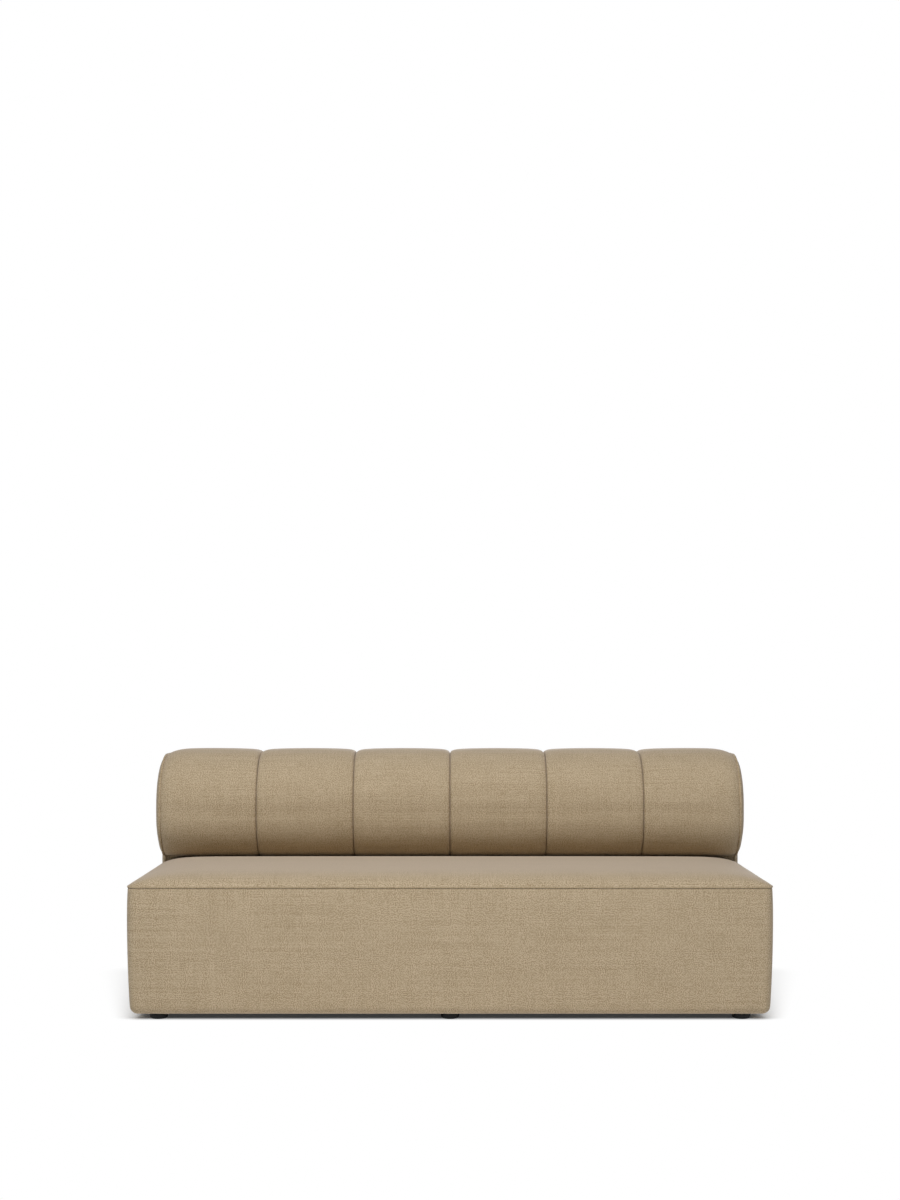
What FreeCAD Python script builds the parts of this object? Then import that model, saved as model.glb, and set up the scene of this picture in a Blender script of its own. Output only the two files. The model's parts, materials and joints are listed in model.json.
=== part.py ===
import FreeCAD, Part
import math
import os
from FreeCAD import Vector

# Modular sofa without arms: a box seat with a piped, crowned top, and a back whose channelled roll
# overhangs a narrower neck. Millimetres, +Z up, the sitter looks along -Y, the origin lies on the
# floor under the middle of the sofa.

# Overall sizes
seat_width = 1720.5
overall_depth = 860.0
overall_height = 703.0
underside_height = 19.5
seam_height = 360.0
seat_crown_rise = 31.0

# Seat outline
seat_depth = 579.5
unit_gap = 0.5
seat_corner_radius = 25.0
seat_bottom_radius = 22.0
wall_widest_height = 283.0
wall_draw_bottom = 7.0
wall_draw_top = 2.0
crown_fade = 33.0
corner_shrink_share = 0.8
corner_growth_share = 0.5
corner_sides = 4
wall_height_shares = (0.5,)
wall_angle_shares = (0.0, 0.4, 0.7, 1.0)
crown_ring_shares = (0.0, 0.35, 0.95, 2.0, 4.0)
foam_ring_shares = (0.0, 1.2, 4.0)

# Piping
piping_radius = 3.25
piping_sides = 6
piping_proud = 2.0
piping_gap = 0.25

# Back outline, measured on the crest of a channel
roll_front_set_back = 453.0
roll_bottom_height = 386.0
roll_lower_radius = 123.0
roll_upper_radius = 163.0
rear_top_radius = 185.0
rear_bottom_radius = 15.0
crease_radius = 3.0
roll_sides = 6
crease_sides = 3
foot_arc_sides = 2
roll_least_flat = 1.0
back_side_set_back = 12.25
end_dome_rise = 14.8

# Channels of the back
channel_count = 6
valley_sharp_depth = 7.0
valley_sharp_fade = 8.0
valley_soft_depth = 5.8
valley_soft_fade = 45.0
end_valley_depth = 20.0
end_valley_fade = 22.0
channel_station_shares = (0.0, 0.04, 0.14, 0.42)
end_station_shares = (0.0, 0.07, 0.24, 0.5)
dome_rise_shares = (0.18, 0.47, 0.79, 1.0)
dome_inset_shares = (1.025, 1.2, 1.65, 2.5)

# Layers under the covers
cover_thickness = 2.5
wadding_thickness = 6.5
quilt_thickness = 24.0
back_foam_thickness = 26.0
skin_thickness = 3.0
rail_inset = 24.0
hem_width = 35.0
hem_thickness = 2.5
dust_cover_thickness = 1.0
dust_cover_margin = 14.0
layer_gap = 0.3

# Timber
rail_thickness = 22.0
rail_bottom_height = 22.5
webbing_height = 215.0
cross_rail_drop = 40.0
rib_thickness = 18.0
board_thickness = 18.0
slot_clearance = 0.4
base_board_thickness = 18.0
front_board_thickness = 22.0
front_board_height = 360.0
nose_rail_height = 72.0
nose_rail_drop = 40.5
nose_rail_set_back = 67.0
top_rail_width = 90.0
top_rail_drop = 5.0
rear_rail_height = 90.0
rear_rail_bottom_height = 300.0
rear_rail_inset = 8.0
corner_block_leg = 60.0
corner_block_bottom_height = 90.0
corner_block_height = 110.0
foot_board_length = 100.0
foot_board_width = 90.0
pull_strap_thickness = 1.2
pull_strap_height = 28.0
pull_strap_room = 0.6

# Webbing
strap_width = 70.0
strap_thickness = 1.8
strap_weave_gap = 0.3
strap_weave_run = 30.0
long_strap_count = 11
cross_strap_count = 3

# Glides and the nuts they screw into
glide_top_radius = 25.0
glide_bottom_radius = 20.5
glide_sides = 24
glide_stem_radius = 4.0
glide_stem_height = 65.5
glide_set_back = 75.0
glide_side_set_back = 76.75
glide_top_gap = 0.4
thread_clearance = 0.05
nut_plate_size = 32.0
nut_plate_thickness = 4.0
hole_clearance = 0.4
hole_sides = 12
stem_hole_radius = 7.0

# Bolts that hold the back to the seat
bolt_radius = 4.0
bolt_head_radius = 6.5
bolt_head_sides = 6
bolt_head_thickness = 5.0
bolt_height = 110.0
spacer_size = 50.0
bolt_channel_shares = (-1.5, -0.5, 0.5, 1.5)

# Linking hardware under the side rails
link_set_back = 32.0
link_front_set_back = 160.0
link_rear_set_back = 490.0
link_plate_thickness = 2.5
link_plate_length = 84.0
link_plate_width = 34.0
link_arm_thickness = 3.0
link_arm_width = 24.0
link_eye_radius = 5.25
link_pivot_radius = 4.0
link_pivot_clearance = 0.08
link_head_radius = 7.0
link_end_sides = 16
link_head_thickness = 2.0
link_gap = 0.4
peg_radius = 5.0
peg_length = 11.0
peg_tip_radius = 1.0

cut_overrun = 5.0

# Places worked out from the sizes above
front_y = -overall_depth / 2
rear_y = overall_depth / 2
seat_rear_y = front_y + seat_depth
seat_half_width = seat_width / 2
roll_front_y = front_y + roll_front_set_back
neck_y = seat_rear_y + unit_gap
back_seam_half_width = seat_half_width - back_side_set_back
glide_half_spacing = seat_half_width - glide_side_set_back

# Arcs of the roll, each held to the room that its neighbours leave
under_radius = min(roll_lower_radius, neck_y - crease_radius - roll_front_y - roll_least_flat)
top_room = overall_height - roll_bottom_height - under_radius - roll_least_flat
nose_radius = min(roll_upper_radius, top_room)
rear_radius = min(rear_top_radius, rear_y - roll_front_y - nose_radius - roll_least_flat)
rear_arc_y = rear_y - rear_radius
rear_arc_height = overall_height - rear_radius
roll_middle = (roll_bottom_height + under_radius + overall_height - nose_radius) / 2

# Places of boards, seams and hardware
channel_pitch = 2 * back_seam_half_width / channel_count
rail_half_width = seat_half_width - rail_inset
rail_front_y = front_y + rail_inset
rail_rear_y = seat_rear_y - rail_inset
inner_half_width = rail_half_width - rail_thickness
foam_inset = quilt_thickness + layer_gap
skin_inset = foam_inset + back_foam_thickness
rib_inset = skin_inset + skin_thickness + layer_gap
end_rib_x = back_seam_half_width - piping_radius - rib_thickness / 2 - layer_gap
seam_places = [(k - channel_count / 2) * channel_pitch for k in range(1, channel_count)]
rib_places = [-end_rib_x] + seam_places + [end_rib_x]
front_board_y = neck_y + rib_inset - layer_gap - front_board_thickness
dust_cover_bottom = underside_height - layer_gap / 2 - dust_cover_thickness
glide_top_height = dust_cover_bottom - glide_top_gap
glide_front_y = front_y + glide_set_back
glide_rear_y = rear_y - glide_set_back
foot_board_top = rail_bottom_height + board_thickness
base_board_top = rail_bottom_height + base_board_thickness
link_x = seat_half_width - link_set_back
link_places = (front_y + link_front_set_back, front_y + link_rear_set_back)
link_plate_bottom = dust_cover_bottom - link_plate_thickness
link_arm_bottom = link_plate_bottom - link_gap - link_arm_thickness


def save(shape, name):
    """Write one piece, or one group of like pieces, to its own file."""
    shape.exportStep("parts/" + name + ".step")
    kind = "solid" if len(shape.Solids) == 1 else "solids"
    print(name, len(shape.Solids), kind, "valid" if shape.isValid() else "NOT VALID")


def block(x0, x1, y0, y1, z0, z1):
    """A box between two corners."""
    return Part.makeBox(x1 - x0, y1 - y0, z1 - z0, Vector(x0, y0, z0))


def rod(radius, x, y, z0, z1):
    """An upright cylinder."""
    return Part.makeCylinder(radius, z1 - z0, Vector(x, y, z0))


def sided(radius, sides, origin, first, second):
    """A closed outline with flat sides, its corners on a circle."""
    points = []
    for k in range(sides + 1):
        a = 2 * math.pi * (k + 1 / 2) / sides
        points.append(origin + first * (radius * math.cos(a)) + second * (radius * math.sin(a)))
    return Part.makePolygon(points)


def prism(radius, sides, x, y, z0, z1):
    """An upright bar with flat sides, its corners on a circle."""
    outline = sided(radius, sides, Vector(x, y, z0), Vector(1, 0, 0), Vector(0, 1, 0))
    return Part.Face(outline).extrude(Vector(0, 0, z1 - z0))


def drilled(radius, x, y, z0, z1):
    """An upright clearance hole: a many-sided bar whose flats lie at the radius."""
    return prism(radius / math.cos(math.pi / hole_sides), hole_sides, x, y, z0, z1)


def panelled(rings):
    """A solid through closed outlines whose matching sides are parallel, skinned with flat panels."""
    faces = [Part.Face(rings[0]), Part.Face(rings[-1])]
    for first, second in zip(rings, rings[1:]):
        near = [vertex.Point for vertex in first.OrderedVertexes]
        far = [vertex.Point for vertex in second.OrderedVertexes]
        for k in range(len(near)):
            corners = [near[k - 1], near[k], far[k], far[k - 1], near[k - 1]]
            faces.append(Part.Face(Part.makePolygon(corners)))
    solid = Part.Solid(Part.Shell(faces))
    return solid if solid.Volume > 0 else solid.reversed()


def group(shapes):
    """Like pieces kept as separate solids in one node."""
    return Part.makeCompound(shapes)


def bored(shape, holes):
    """A piece with a list of holes taken out of it."""
    result = shape
    for hole in holes:
        result = result.cut(hole)
    return result


def arc_points(centre, radius, first, last, sides):
    """Pairs on an arc between two angles in degrees, both ends among them."""
    points = []
    for k in range(sides + 1):
        a = math.radians(first + (last - first) * k / sides)
        points.append((centre[0] + radius * math.cos(a), centre[1] + radius * math.sin(a)))
    return points


# Seat outlines: rounded rectangles seen from above

def seat_corners(inset, radius):
    """The centres and first angles of the four corner arcs, anticlockwise."""
    x1 = seat_half_width - inset - radius
    y0 = front_y + inset + radius
    y1 = seat_rear_y - inset - radius
    return [((x1, y0), -90), ((x1, y1), 0), ((-x1, y1), 90), ((-x1, y0), 180)]


def seat_ring(inset, radius, z):
    """The seat's outline drawn in by an inset, with short flats round its corners."""
    points = []
    for centre, angle in seat_corners(inset, radius):
        points += [Vector(x, y, z) for x, y in arc_points(centre, radius, angle, angle + 90, corner_sides)]
    return Part.makePolygon(points + points[:1])


def seat_line(inset, radius, z):
    """The same outline with true arcs, for what follows it."""
    arcs = []
    for centre, angle in seat_corners(inset, radius):
        points = [Vector(x, y, z) for x, y in arc_points(centre, radius, angle, angle + 90, 2)]
        arcs.append(Part.Arc(*points).toShape())
    edges = []
    for k, piece in enumerate(arcs):
        following = arcs[(k + 1) % len(arcs)]
        edges.append(piece)
        edges.append(Part.LineSegment(piece.lastVertex().Point, following.firstVertex().Point).toShape())
    return Part.Wire(edges)


def wall_draw(z):
    """How far the boxing band is drawn in at a height, apart from its rounded bottom edge."""
    if z > wall_widest_height:
        share = (z - wall_widest_height) / (seam_height - wall_widest_height)
        return wall_draw_top * share ** 2
    straight_bottom = underside_height + seat_bottom_radius
    share = (wall_widest_height - z) / (wall_widest_height - straight_bottom)
    return wall_draw_bottom * share ** 2


def wall_levels(top):
    """Heights and insets of the band: a rounded bottom edge, then a gently bowed wall."""
    levels = []
    for share in wall_angle_shares:
        angle = math.radians(90 * share)
        z = underside_height + seat_bottom_radius * (1 - math.cos(angle))
        inset = wall_draw_bottom + seat_bottom_radius * (1 - math.sin(angle))
        levels.append((z, inset))
    low = underside_height + seat_bottom_radius
    for share in wall_height_shares:
        z = low + share * (wall_widest_height - low)
        levels.append((z, wall_draw(z)))
    levels.append((wall_widest_height, 0))
    levels.append((top, wall_draw(top)))
    return levels


def wall_block(extra, top):
    """The body inside the boxing band, drawn in by an extra inset."""
    rings = []
    for z, inset in wall_levels(top):
        radius = max(seat_corner_radius - corner_shrink_share * inset, piping_radius)
        rings.append(seat_ring(inset + extra, radius, z))
    return panelled(rings)


def crown_height(inset):
    """Height of the seat's top at a distance from its edge."""
    low = seam_height + piping_radius + piping_gap
    return low + seat_crown_rise * (1 - math.exp(-inset / crown_fade))


def crowned_block(start_inset, drop, base, shares=crown_ring_shares):
    """The crowned top of the seat above a base height, lowered by a drop."""
    start_radius = max(seat_corner_radius - start_inset * corner_growth_share, piping_radius)
    rings = [seat_ring(start_inset, start_radius, base)]
    for share in shares:
        inset = start_inset + share * crown_fade
        radius = start_radius + corner_growth_share * (inset - start_inset)
        rings.append(seat_ring(inset, radius, crown_height(inset - wall_draw_top) - drop))
    return panelled(rings)


# Back outlines: the side profile with its roll, drawn in by an inset

def back_points(inset, bottom):
    """The side profile as arcs and lines: pairs of depth and height."""
    front = roll_front_y + inset
    neck = neck_y + inset
    top = overall_height - inset
    rear = rear_y - inset
    under = roll_bottom_height + inset
    crease_centre = (neck_y - crease_radius, roll_bottom_height - crease_radius)
    lower_centre = (roll_front_y + under_radius, roll_bottom_height + under_radius)
    upper_centre = (roll_front_y + nose_radius, overall_height - nose_radius)
    rear_centre = (rear_arc_y, rear_arc_height)
    foot_centre = (rear - rear_bottom_radius, bottom + rear_bottom_radius)
    return [
        ("line", (neck, bottom), (neck, crease_centre[1])),
        ("arc", crease_centre, crease_radius + inset, 0, 90, crease_sides),
        ("line", (crease_centre[0], under), (lower_centre[0], under)),
        ("arc", lower_centre, under_radius - inset, 270, 180, roll_sides),
        ("line", (front, lower_centre[1]), (front, upper_centre[1])),
        ("arc", upper_centre, nose_radius - inset, 180, 90, roll_sides),
        ("line", (upper_centre[0], top), (rear_centre[0], top)),
        ("arc", rear_centre, rear_radius - inset, 90, 0, roll_sides),
        ("line", (rear, rear_centre[1]), (rear, foot_centre[1])),
        ("arc", foot_centre, rear_bottom_radius, 0, -90, foot_arc_sides),
        ("line", (foot_centre[0], bottom), (neck, bottom)),
    ]


def back_edges(x, inset, bottom):
    """The side profile as true arcs and lines in the plane across the sofa at x."""
    edges = []
    for item in back_points(inset, bottom):
        if item[0] == "line":
            start, end = item[1], item[2]
            edges.append(Part.LineSegment(Vector(x, *start), Vector(x, *end)).toShape())
        else:
            pairs = arc_points(*item[1:-1], 2)
            edges.append(Part.Arc(*[Vector(x, *pair) for pair in pairs]).toShape())
    return edges


def back_sides(x, inset, bottom=underside_height):
    """The side profile with flats along its arcs, which the padded covers are drawn through."""
    points = []
    for item in back_points(inset, bottom):
        pairs = [item[1]] if item[0] == "line" else arc_points(*item[1:])[:-1]
        points += [Vector(x, *pair) for pair in pairs]
    return Part.makePolygon(points + points[:1])


def back_ring(x, inset, bottom=underside_height):
    """The closed side profile."""
    return Part.Wire(back_edges(x, inset, bottom))


def back_prism(x0, x1, inset, bottom=underside_height, outline=back_ring):
    """A straight length of the back's profile, with true arcs or with flats."""
    return Part.Face(outline(x0, inset, bottom)).extrude(Vector(x1 - x0, 0, 0))


def valley(distance, end):
    """How far a channel is drawn in at a distance from its seam."""
    if end:
        return end_valley_depth * math.exp(-distance / end_valley_fade)
    sharp = valley_sharp_depth * math.exp(-distance / valley_sharp_fade)
    return sharp + valley_soft_depth * math.exp(-distance / valley_soft_fade)


def channel_stations(x0, x1, end_left, end_right):
    """Places and insets along one channel: its left half, its crest, its right half."""
    half = (x1 - x0) / 2
    stations = [(x0 + half, 0)]
    for start, way, end in ((x0, 1, end_left), (x1, -1, end_right)):
        for share in end_station_shares if end else channel_station_shares:
            distance = share * half
            stations.append((start + way * distance, valley(distance, end) - valley(half, end)))
    return sorted(stations)


# Places of holes and fasteners

glide_places = [(x, y) for y in (glide_front_y, glide_rear_y)
                for x in (-glide_half_spacing, 0, glide_half_spacing)]
glide_names = ["glide_front_left", "glide_front_centre", "glide_front_right",
               "glide_rear_left", "glide_rear_centre", "glide_rear_right"]
bolt_places = [share * channel_pitch for share in bolt_channel_shares]


def stem_holes(radius, z0, z1, rear):
    """Holes for the glides' stems through the front or the rear boards."""
    row = glide_rear_y if rear else glide_front_y
    return [drilled(radius, x, y, z0, z1) for x, y in glide_places if y == row]


def bolt_holes(radius, y0, y1):
    """Clearance holes along the depth for the joining bolts."""
    reach = radius / math.cos(math.pi / hole_sides)
    holes = []
    for x in bolt_places:
        outline = sided(reach, hole_sides, Vector(x, y0, bolt_height), Vector(1, 0, 0), Vector(0, 0, 1))
        holes.append(Part.Face(outline).extrude(Vector(0, y1 - y0, 0)))
    return holes


def spacer_holes(y0, y1, clearance):
    """Square openings through the soft layers for the spacer blocks."""
    half = spacer_size / 2 + clearance
    return [block(x - half, x + half, y0, y1, bolt_height - half, bolt_height + half)
            for x in bolt_places]


# Seat frame

def seat_frame():
    rail_top = webbing_height
    holes = bolt_holes(bolt_radius + hole_clearance, rail_rear_y - rail_thickness - cut_overrun,
                       rail_rear_y + cut_overrun)
    front = block(-rail_half_width, rail_half_width, rail_front_y, rail_front_y + rail_thickness,
                  rail_bottom_height, rail_top)
    rear = block(-rail_half_width, rail_half_width, rail_rear_y - rail_thickness, rail_rear_y,
                 rail_bottom_height, rail_top)
    save(front, "seat_front_rail")
    save(bored(rear, holes), "seat_rear_rail")

    y0 = rail_front_y + rail_thickness
    y1 = rail_rear_y - rail_thickness
    left = block(-rail_half_width, -inner_half_width, y0, y1, rail_bottom_height, rail_top)
    right = block(inner_half_width, rail_half_width, y0, y1, rail_bottom_height, rail_top)
    save(group([left, right]), "seat_side_rails")

    cross_x = inner_half_width / 3
    cross = [block(x - rail_thickness / 2, x + rail_thickness / 2, y0, y1, rail_bottom_height,
                   rail_top - cross_rail_drop) for x in (-cross_x, cross_x)]
    save(group(cross), "seat_cross_rails")

    blocks = []
    for x, side_x in ((-inner_half_width, 1), (inner_half_width, -1)):
        for y, side_y in ((y0, 1), (y1, -1)):
            corner = Vector(x, y, corner_block_bottom_height)
            along_x = Vector(x + side_x * corner_block_leg, y, corner_block_bottom_height)
            along_y = Vector(x, y + side_y * corner_block_leg, corner_block_bottom_height)
            face = Part.Face(Part.makePolygon([corner, along_x, along_y, corner]))
            blocks.append(face.extrude(Vector(0, 0, corner_block_height)))
    save(group(blocks), "seat_corner_blocks")

    holes = stem_holes(glide_stem_radius + hole_clearance, rail_bottom_height - cut_overrun,
                       foot_board_top + cut_overrun, False)
    spans = [(-inner_half_width, -inner_half_width + foot_board_length),
             (-foot_board_length / 2, foot_board_length / 2),
             (inner_half_width - foot_board_length, inner_half_width)]
    boards = [block(x0, x1, y0, y0 + foot_board_width, rail_bottom_height, foot_board_top)
              for x0, x1 in spans]
    save(group([bored(board, holes) for board in boards]), "seat_foot_boards")


# Webbing: straps from front to back, and straps from side to side woven over and under them

def webbing():
    low = webbing_height + layer_gap / 2
    step = 2 * rail_half_width / long_strap_count
    centres = [-rail_half_width + (k + 1 / 2) * step for k in range(long_strap_count)]
    long_level = low + strap_thickness + strap_weave_gap
    long_straps = [block(x - strap_width / 2, x + strap_width / 2, rail_front_y, rail_rear_y,
                         long_level, long_level + strap_thickness) for x in centres]
    save(group(long_straps), "webbing_front_to_back")

    rise = 2 * (strap_thickness + strap_weave_gap)
    cross_step = (rail_rear_y - rail_front_y) / cross_strap_count
    straps = []
    for row in range(cross_strap_count):
        upper, lower = [], []
        for k, x in enumerate(centres):
            level = low + (rise if (k + row) % 2 else 0)
            half = min(strap_width / 2 + strap_weave_run / 4, step / 2 - strap_weave_run / 2)
            first = -rail_half_width if k == 0 else x - half
            last = rail_half_width if k == long_strap_count - 1 else x + half
            lower += [(first, level), (last, level)]
            upper += [(first, level + strap_thickness), (last, level + strap_thickness)]
        outline = lower + upper[::-1]
        y = rail_front_y + (row + 1 / 2) * cross_step - strap_width / 2
        points = [Vector(x, y, z) for x, z in outline]
        face = Part.Face(Part.makePolygon(points + points[:1]))
        straps.append(face.extrude(Vector(0, strap_width, 0)))
    save(group(straps), "webbing_side_to_side")


# Seat padding and covers

def seat_soft_parts():
    foam_bottom = webbing_height + 3 * (strap_thickness + strap_weave_gap) + layer_gap
    padding_top = seam_height - piping_radius - 2 * layer_gap - wadding_thickness / 2
    wadding_bottom = padding_top + layer_gap
    foam_drop = cover_thickness + wadding_thickness + layer_gap

    foam = crowned_block(rail_inset, foam_drop, foam_bottom, foam_ring_shares)
    save(foam, "seat_foam")

    wadding_inset = wall_draw_top + 2 * piping_radius - piping_proud + layer_gap
    wadding = crowned_block(wadding_inset, cover_thickness + 2 * layer_gap, wadding_bottom)
    hollow = crowned_block(rail_inset - layer_gap, foam_drop - layer_gap, foam_bottom, foam_ring_shares)
    wadding = wadding.cut(hollow)
    save(wadding, "seat_wadding")

    core = block(-rail_half_width - layer_gap, rail_half_width + layer_gap, rail_front_y - layer_gap,
                 rail_rear_y + layer_gap, 0, seam_height)
    padding = wall_block(cover_thickness + layer_gap, padding_top)
    floor_cut = block(-seat_width, seat_width, -overall_depth, overall_depth, 0, rail_bottom_height)
    holes = spacer_holes(seat_rear_y - rail_inset - cut_overrun, neck_y, layer_gap)
    padding = bored(padding, [core, floor_cut] + holes)
    save(padding, "seat_side_padding")

    piping_line = seat_line(wall_draw_top + piping_radius - piping_proud,
                            seat_corner_radius - piping_radius + piping_proud, seam_height)
    start = Vector(0, front_y + wall_draw_top + piping_radius - piping_proud, seam_height)
    section = sided(piping_radius, piping_sides, start, Vector(0, 1, 0), Vector(0, 0, 1))
    save(piping_line.makePipeShell([section], True, False), "seat_piping")

    top_low = seam_height + piping_radius + piping_gap
    outer = crowned_block(wall_draw_top, 0, top_low - cut_overrun)
    inner = crowned_block(wall_draw_top + cover_thickness, cover_thickness, underside_height)
    trim = block(-seat_width, seat_width, -overall_depth, overall_depth, 0, top_low)
    save(bored(outer, [inner, trim]), "seat_top_cover")

    band_top = seam_height - piping_radius - piping_gap
    band = wall_block(0, band_top)
    inside = wall_block(cover_thickness, band_top + cut_overrun)
    hem_cut = block(-seat_width, seat_width, -overall_depth, overall_depth, 0,
                    underside_height + hem_thickness)
    margin = hem_width + wall_draw_bottom + seat_bottom_radius
    opening = block(-seat_half_width + margin, seat_half_width - margin, front_y + margin,
                    seat_rear_y - margin, 0, rail_bottom_height + cut_overrun)
    inside = inside.cut(hem_cut)
    holes = spacer_holes(seat_rear_y - rail_inset, neck_y + cut_overrun, layer_gap)
    band = bored(band, [inside, opening] + holes)
    save(band, "seat_side_cover")

    margin = dust_cover_margin + wall_draw_bottom + seat_bottom_radius
    sheet = block(-seat_half_width + margin, seat_half_width - margin, front_y + margin,
                  seat_rear_y - margin, dust_cover_bottom, dust_cover_bottom + dust_cover_thickness)
    save(bored(sheet, stem_holes(stem_hole_radius, 0, rail_bottom_height, False)), "seat_dust_cover")


# Back frame

def back_frame():
    low = base_board_top + layer_gap
    slots = [
        nose_rail(slot_clearance),
        top_rail(slot_clearance),
        rear_rail(slot_clearance),
    ]
    nut_room = block(-nut_plate_size, nut_plate_size, glide_rear_y - nut_plate_size,
                     glide_rear_y + nut_plate_size, 0, glide_stem_height + cut_overrun)
    board_room = block(-seat_width, seat_width, neck_y, front_board_y + front_board_thickness + layer_gap,
                       0, front_board_height + layer_gap)
    for number, x in enumerate(rib_places, start=1):
        x0, x1 = x - rib_thickness / 2, x + rib_thickness / 2
        rib = back_prism(x0, x1, rib_inset, low, back_sides).common(back_prism(x0, x1, rib_inset, low))
        rib = bored(rib, slots + [nut_room, board_room])
        save(rib, "back_rib_" + str(number))

    save(nose_rail(0), "back_nose_rail")
    save(top_rail(0), "back_top_rail")
    save(rear_rail(0), "back_rear_rail")

    front_board = block(-end_rib_x - rib_thickness / 2, end_rib_x + rib_thickness / 2, front_board_y,
                        front_board_y + front_board_thickness, rail_bottom_height, front_board_height)
    holes = bolt_holes(bolt_radius + hole_clearance, front_board_y - cut_overrun,
                       front_board_y + front_board_thickness + cut_overrun)
    save(bored(front_board, holes), "back_front_board")

    base_front = front_board_y + front_board_thickness + layer_gap
    base = block(-end_rib_x - rib_thickness / 2, end_rib_x + rib_thickness / 2, base_front,
                 rear_y - rib_inset, rail_bottom_height, base_board_top)
    holes = stem_holes(glide_stem_radius + hole_clearance, 0, base_board_top + cut_overrun, True)
    save(bored(base, holes), "back_base_board")

    rear_board_y = rear_y - rib_inset + layer_gap
    rear_board = block(-end_rib_x - rib_thickness / 2, end_rib_x + rib_thickness / 2, rear_board_y,
                       rear_y - skin_inset - layer_gap, rail_bottom_height, rear_arc_height)
    save(rear_board, "back_rear_board")

    skin_length = end_rib_x + rib_thickness / 2
    outer = back_prism(-skin_length, skin_length, skin_inset + layer_gap / 2)
    inner = back_prism(-skin_length - cut_overrun, skin_length + cut_overrun, rib_inset - layer_gap / 2,
                       underside_height)
    lower_cut = block(-seat_width, seat_width, -overall_depth, overall_depth, 0,
                      front_board_height + layer_gap)
    rear_cut = block(-seat_width, seat_width, neck_y + rib_inset + layer_gap, overall_depth, 0,
                     rear_arc_height + layer_gap)
    save(bored(outer, [inner, lower_cut, rear_cut] + pull_straps(pull_strap_room)), "back_bent_skin")


def back_board(y0, y1, z0, z1, clearance):
    """A board that runs through slots in the ribs."""
    reach = end_rib_x + rib_thickness / 2 + (cut_overrun if clearance else 0)
    return block(-reach, reach, y0 - clearance, y1 + clearance, z0 - clearance, z1 + clearance)


def nose_rail(clearance):
    y = roll_front_y + nose_rail_set_back
    low = roll_middle - nose_rail_drop
    return back_board(y, y + board_thickness, low, low + nose_rail_height, clearance)


def top_rail(clearance):
    y = (roll_front_y + nose_radius + rear_arc_y) / 2
    overhang = max(0, roll_front_y + nose_radius - (y - top_rail_width / 2))
    radius = min(nose_radius, rear_radius) - rib_inset
    fall = radius - math.sqrt(radius ** 2 - overhang ** 2)
    z = overall_height - rib_inset - fall - top_rail_drop
    return back_board(y - top_rail_width / 2, y + top_rail_width / 2, z - board_thickness, z, clearance)


def rear_rail(clearance):
    y = rear_y - rib_inset - rear_rail_inset
    return back_board(y - board_thickness, y, rear_rail_bottom_height,
                      rear_rail_bottom_height + rear_rail_height, clearance)


def pull_straps(room):
    """Straps that hold the front valleys down to the ribs, or the slits that they pass through."""
    y0 = roll_front_y + quilt_thickness + layer_gap
    y1 = roll_front_y + rib_inset - layer_gap
    half = pull_strap_height / 2 + room
    reach = cut_overrun if room else 0
    return [block(x - pull_strap_thickness / 2 - room, x + pull_strap_thickness / 2 + room,
                  y0 - reach, y1 + reach, roll_middle - half, roll_middle + half) for x in seam_places]


# Back padding and covers

def back_soft_parts():
    edges = [-back_seam_half_width + k * channel_pitch for k in range(channel_count + 1)]
    end_gap = piping_radius + piping_gap
    board_cut = block(-seat_width, seat_width, front_board_y - layer_gap,
                      rear_y - skin_inset, 0, front_board_height + 2 * layer_gap)
    for k in range(channel_count):
        first = k == 0
        last = k == channel_count - 1
        x0 = edges[k] + (end_gap if first else 0)
        x1 = edges[k + 1] - (end_gap if last else 0)
        stations = channel_stations(x0, x1, first, last)
        rings = [back_sides(x, inset) for x, inset in stations]
        outer = panelled(rings)
        inner = back_prism(x0 - cut_overrun, x1 + cut_overrun, quilt_thickness,
                           underside_height - cut_overrun, back_sides)
        channel = bored(outer, [inner] + spacer_holes(neck_y - cut_overrun, front_board_y, layer_gap))
        save(channel, "back_channel_" + str(k + 1))

    reach = back_seam_half_width - end_gap
    foam = back_prism(-reach, reach, foam_inset, rail_bottom_height, back_sides)
    hollow = back_prism(-back_seam_half_width, back_seam_half_width, skin_inset,
                        rail_bottom_height - cut_overrun)
    foam = bored(foam, [hollow, board_cut] + pull_straps(pull_strap_room)
                 + spacer_holes(neck_y, front_board_y + cut_overrun, layer_gap))
    save(foam, "back_foam")
    save(group(pull_straps(0)), "back_pull_straps")

    for side, name in ((-1, "left"), (1, "right")):
        save(end_panel(side), "back_end_panel_" + name)
        save(end_piping(side), "back_piping_" + name)

    sheet = block(-back_seam_half_width + dust_cover_margin, back_seam_half_width - dust_cover_margin,
                  neck_y + end_valley_depth, rear_y - dust_cover_margin - rear_bottom_radius,
                  dust_cover_bottom, dust_cover_bottom + dust_cover_thickness)
    save(bored(sheet, stem_holes(stem_hole_radius, 0, rail_bottom_height, True)), "back_dust_cover")


def end_panel(side):
    """The padded end panel: a backing inside the piping, then a low dome."""
    base_x = back_seam_half_width - piping_radius
    rings = [back_sides(side * base_x, quilt_thickness + 2 * layer_gap)]
    for rise_share, inset_share in zip(dome_rise_shares, dome_inset_shares):
        x = back_seam_half_width + rise_share * end_dome_rise
        rings.append(back_sides(side * x, inset_share * end_valley_depth))
    return panelled(rings)


def end_piping(side):
    """Piping on the end seam, from the floor side of the neck over the roll and down the rear."""
    inset = end_valley_depth - piping_proud
    x = side * back_seam_half_width
    path = Part.Wire(back_edges(x, inset, underside_height)[:-2])
    start = Vector(x, neck_y + inset, underside_height)
    section = sided(piping_radius, piping_sides, start, Vector(1, 0, 0), Vector(0, 1, 0))
    return path.makePipeShell([section], True, False)


# Glides, nuts and bolts

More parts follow.
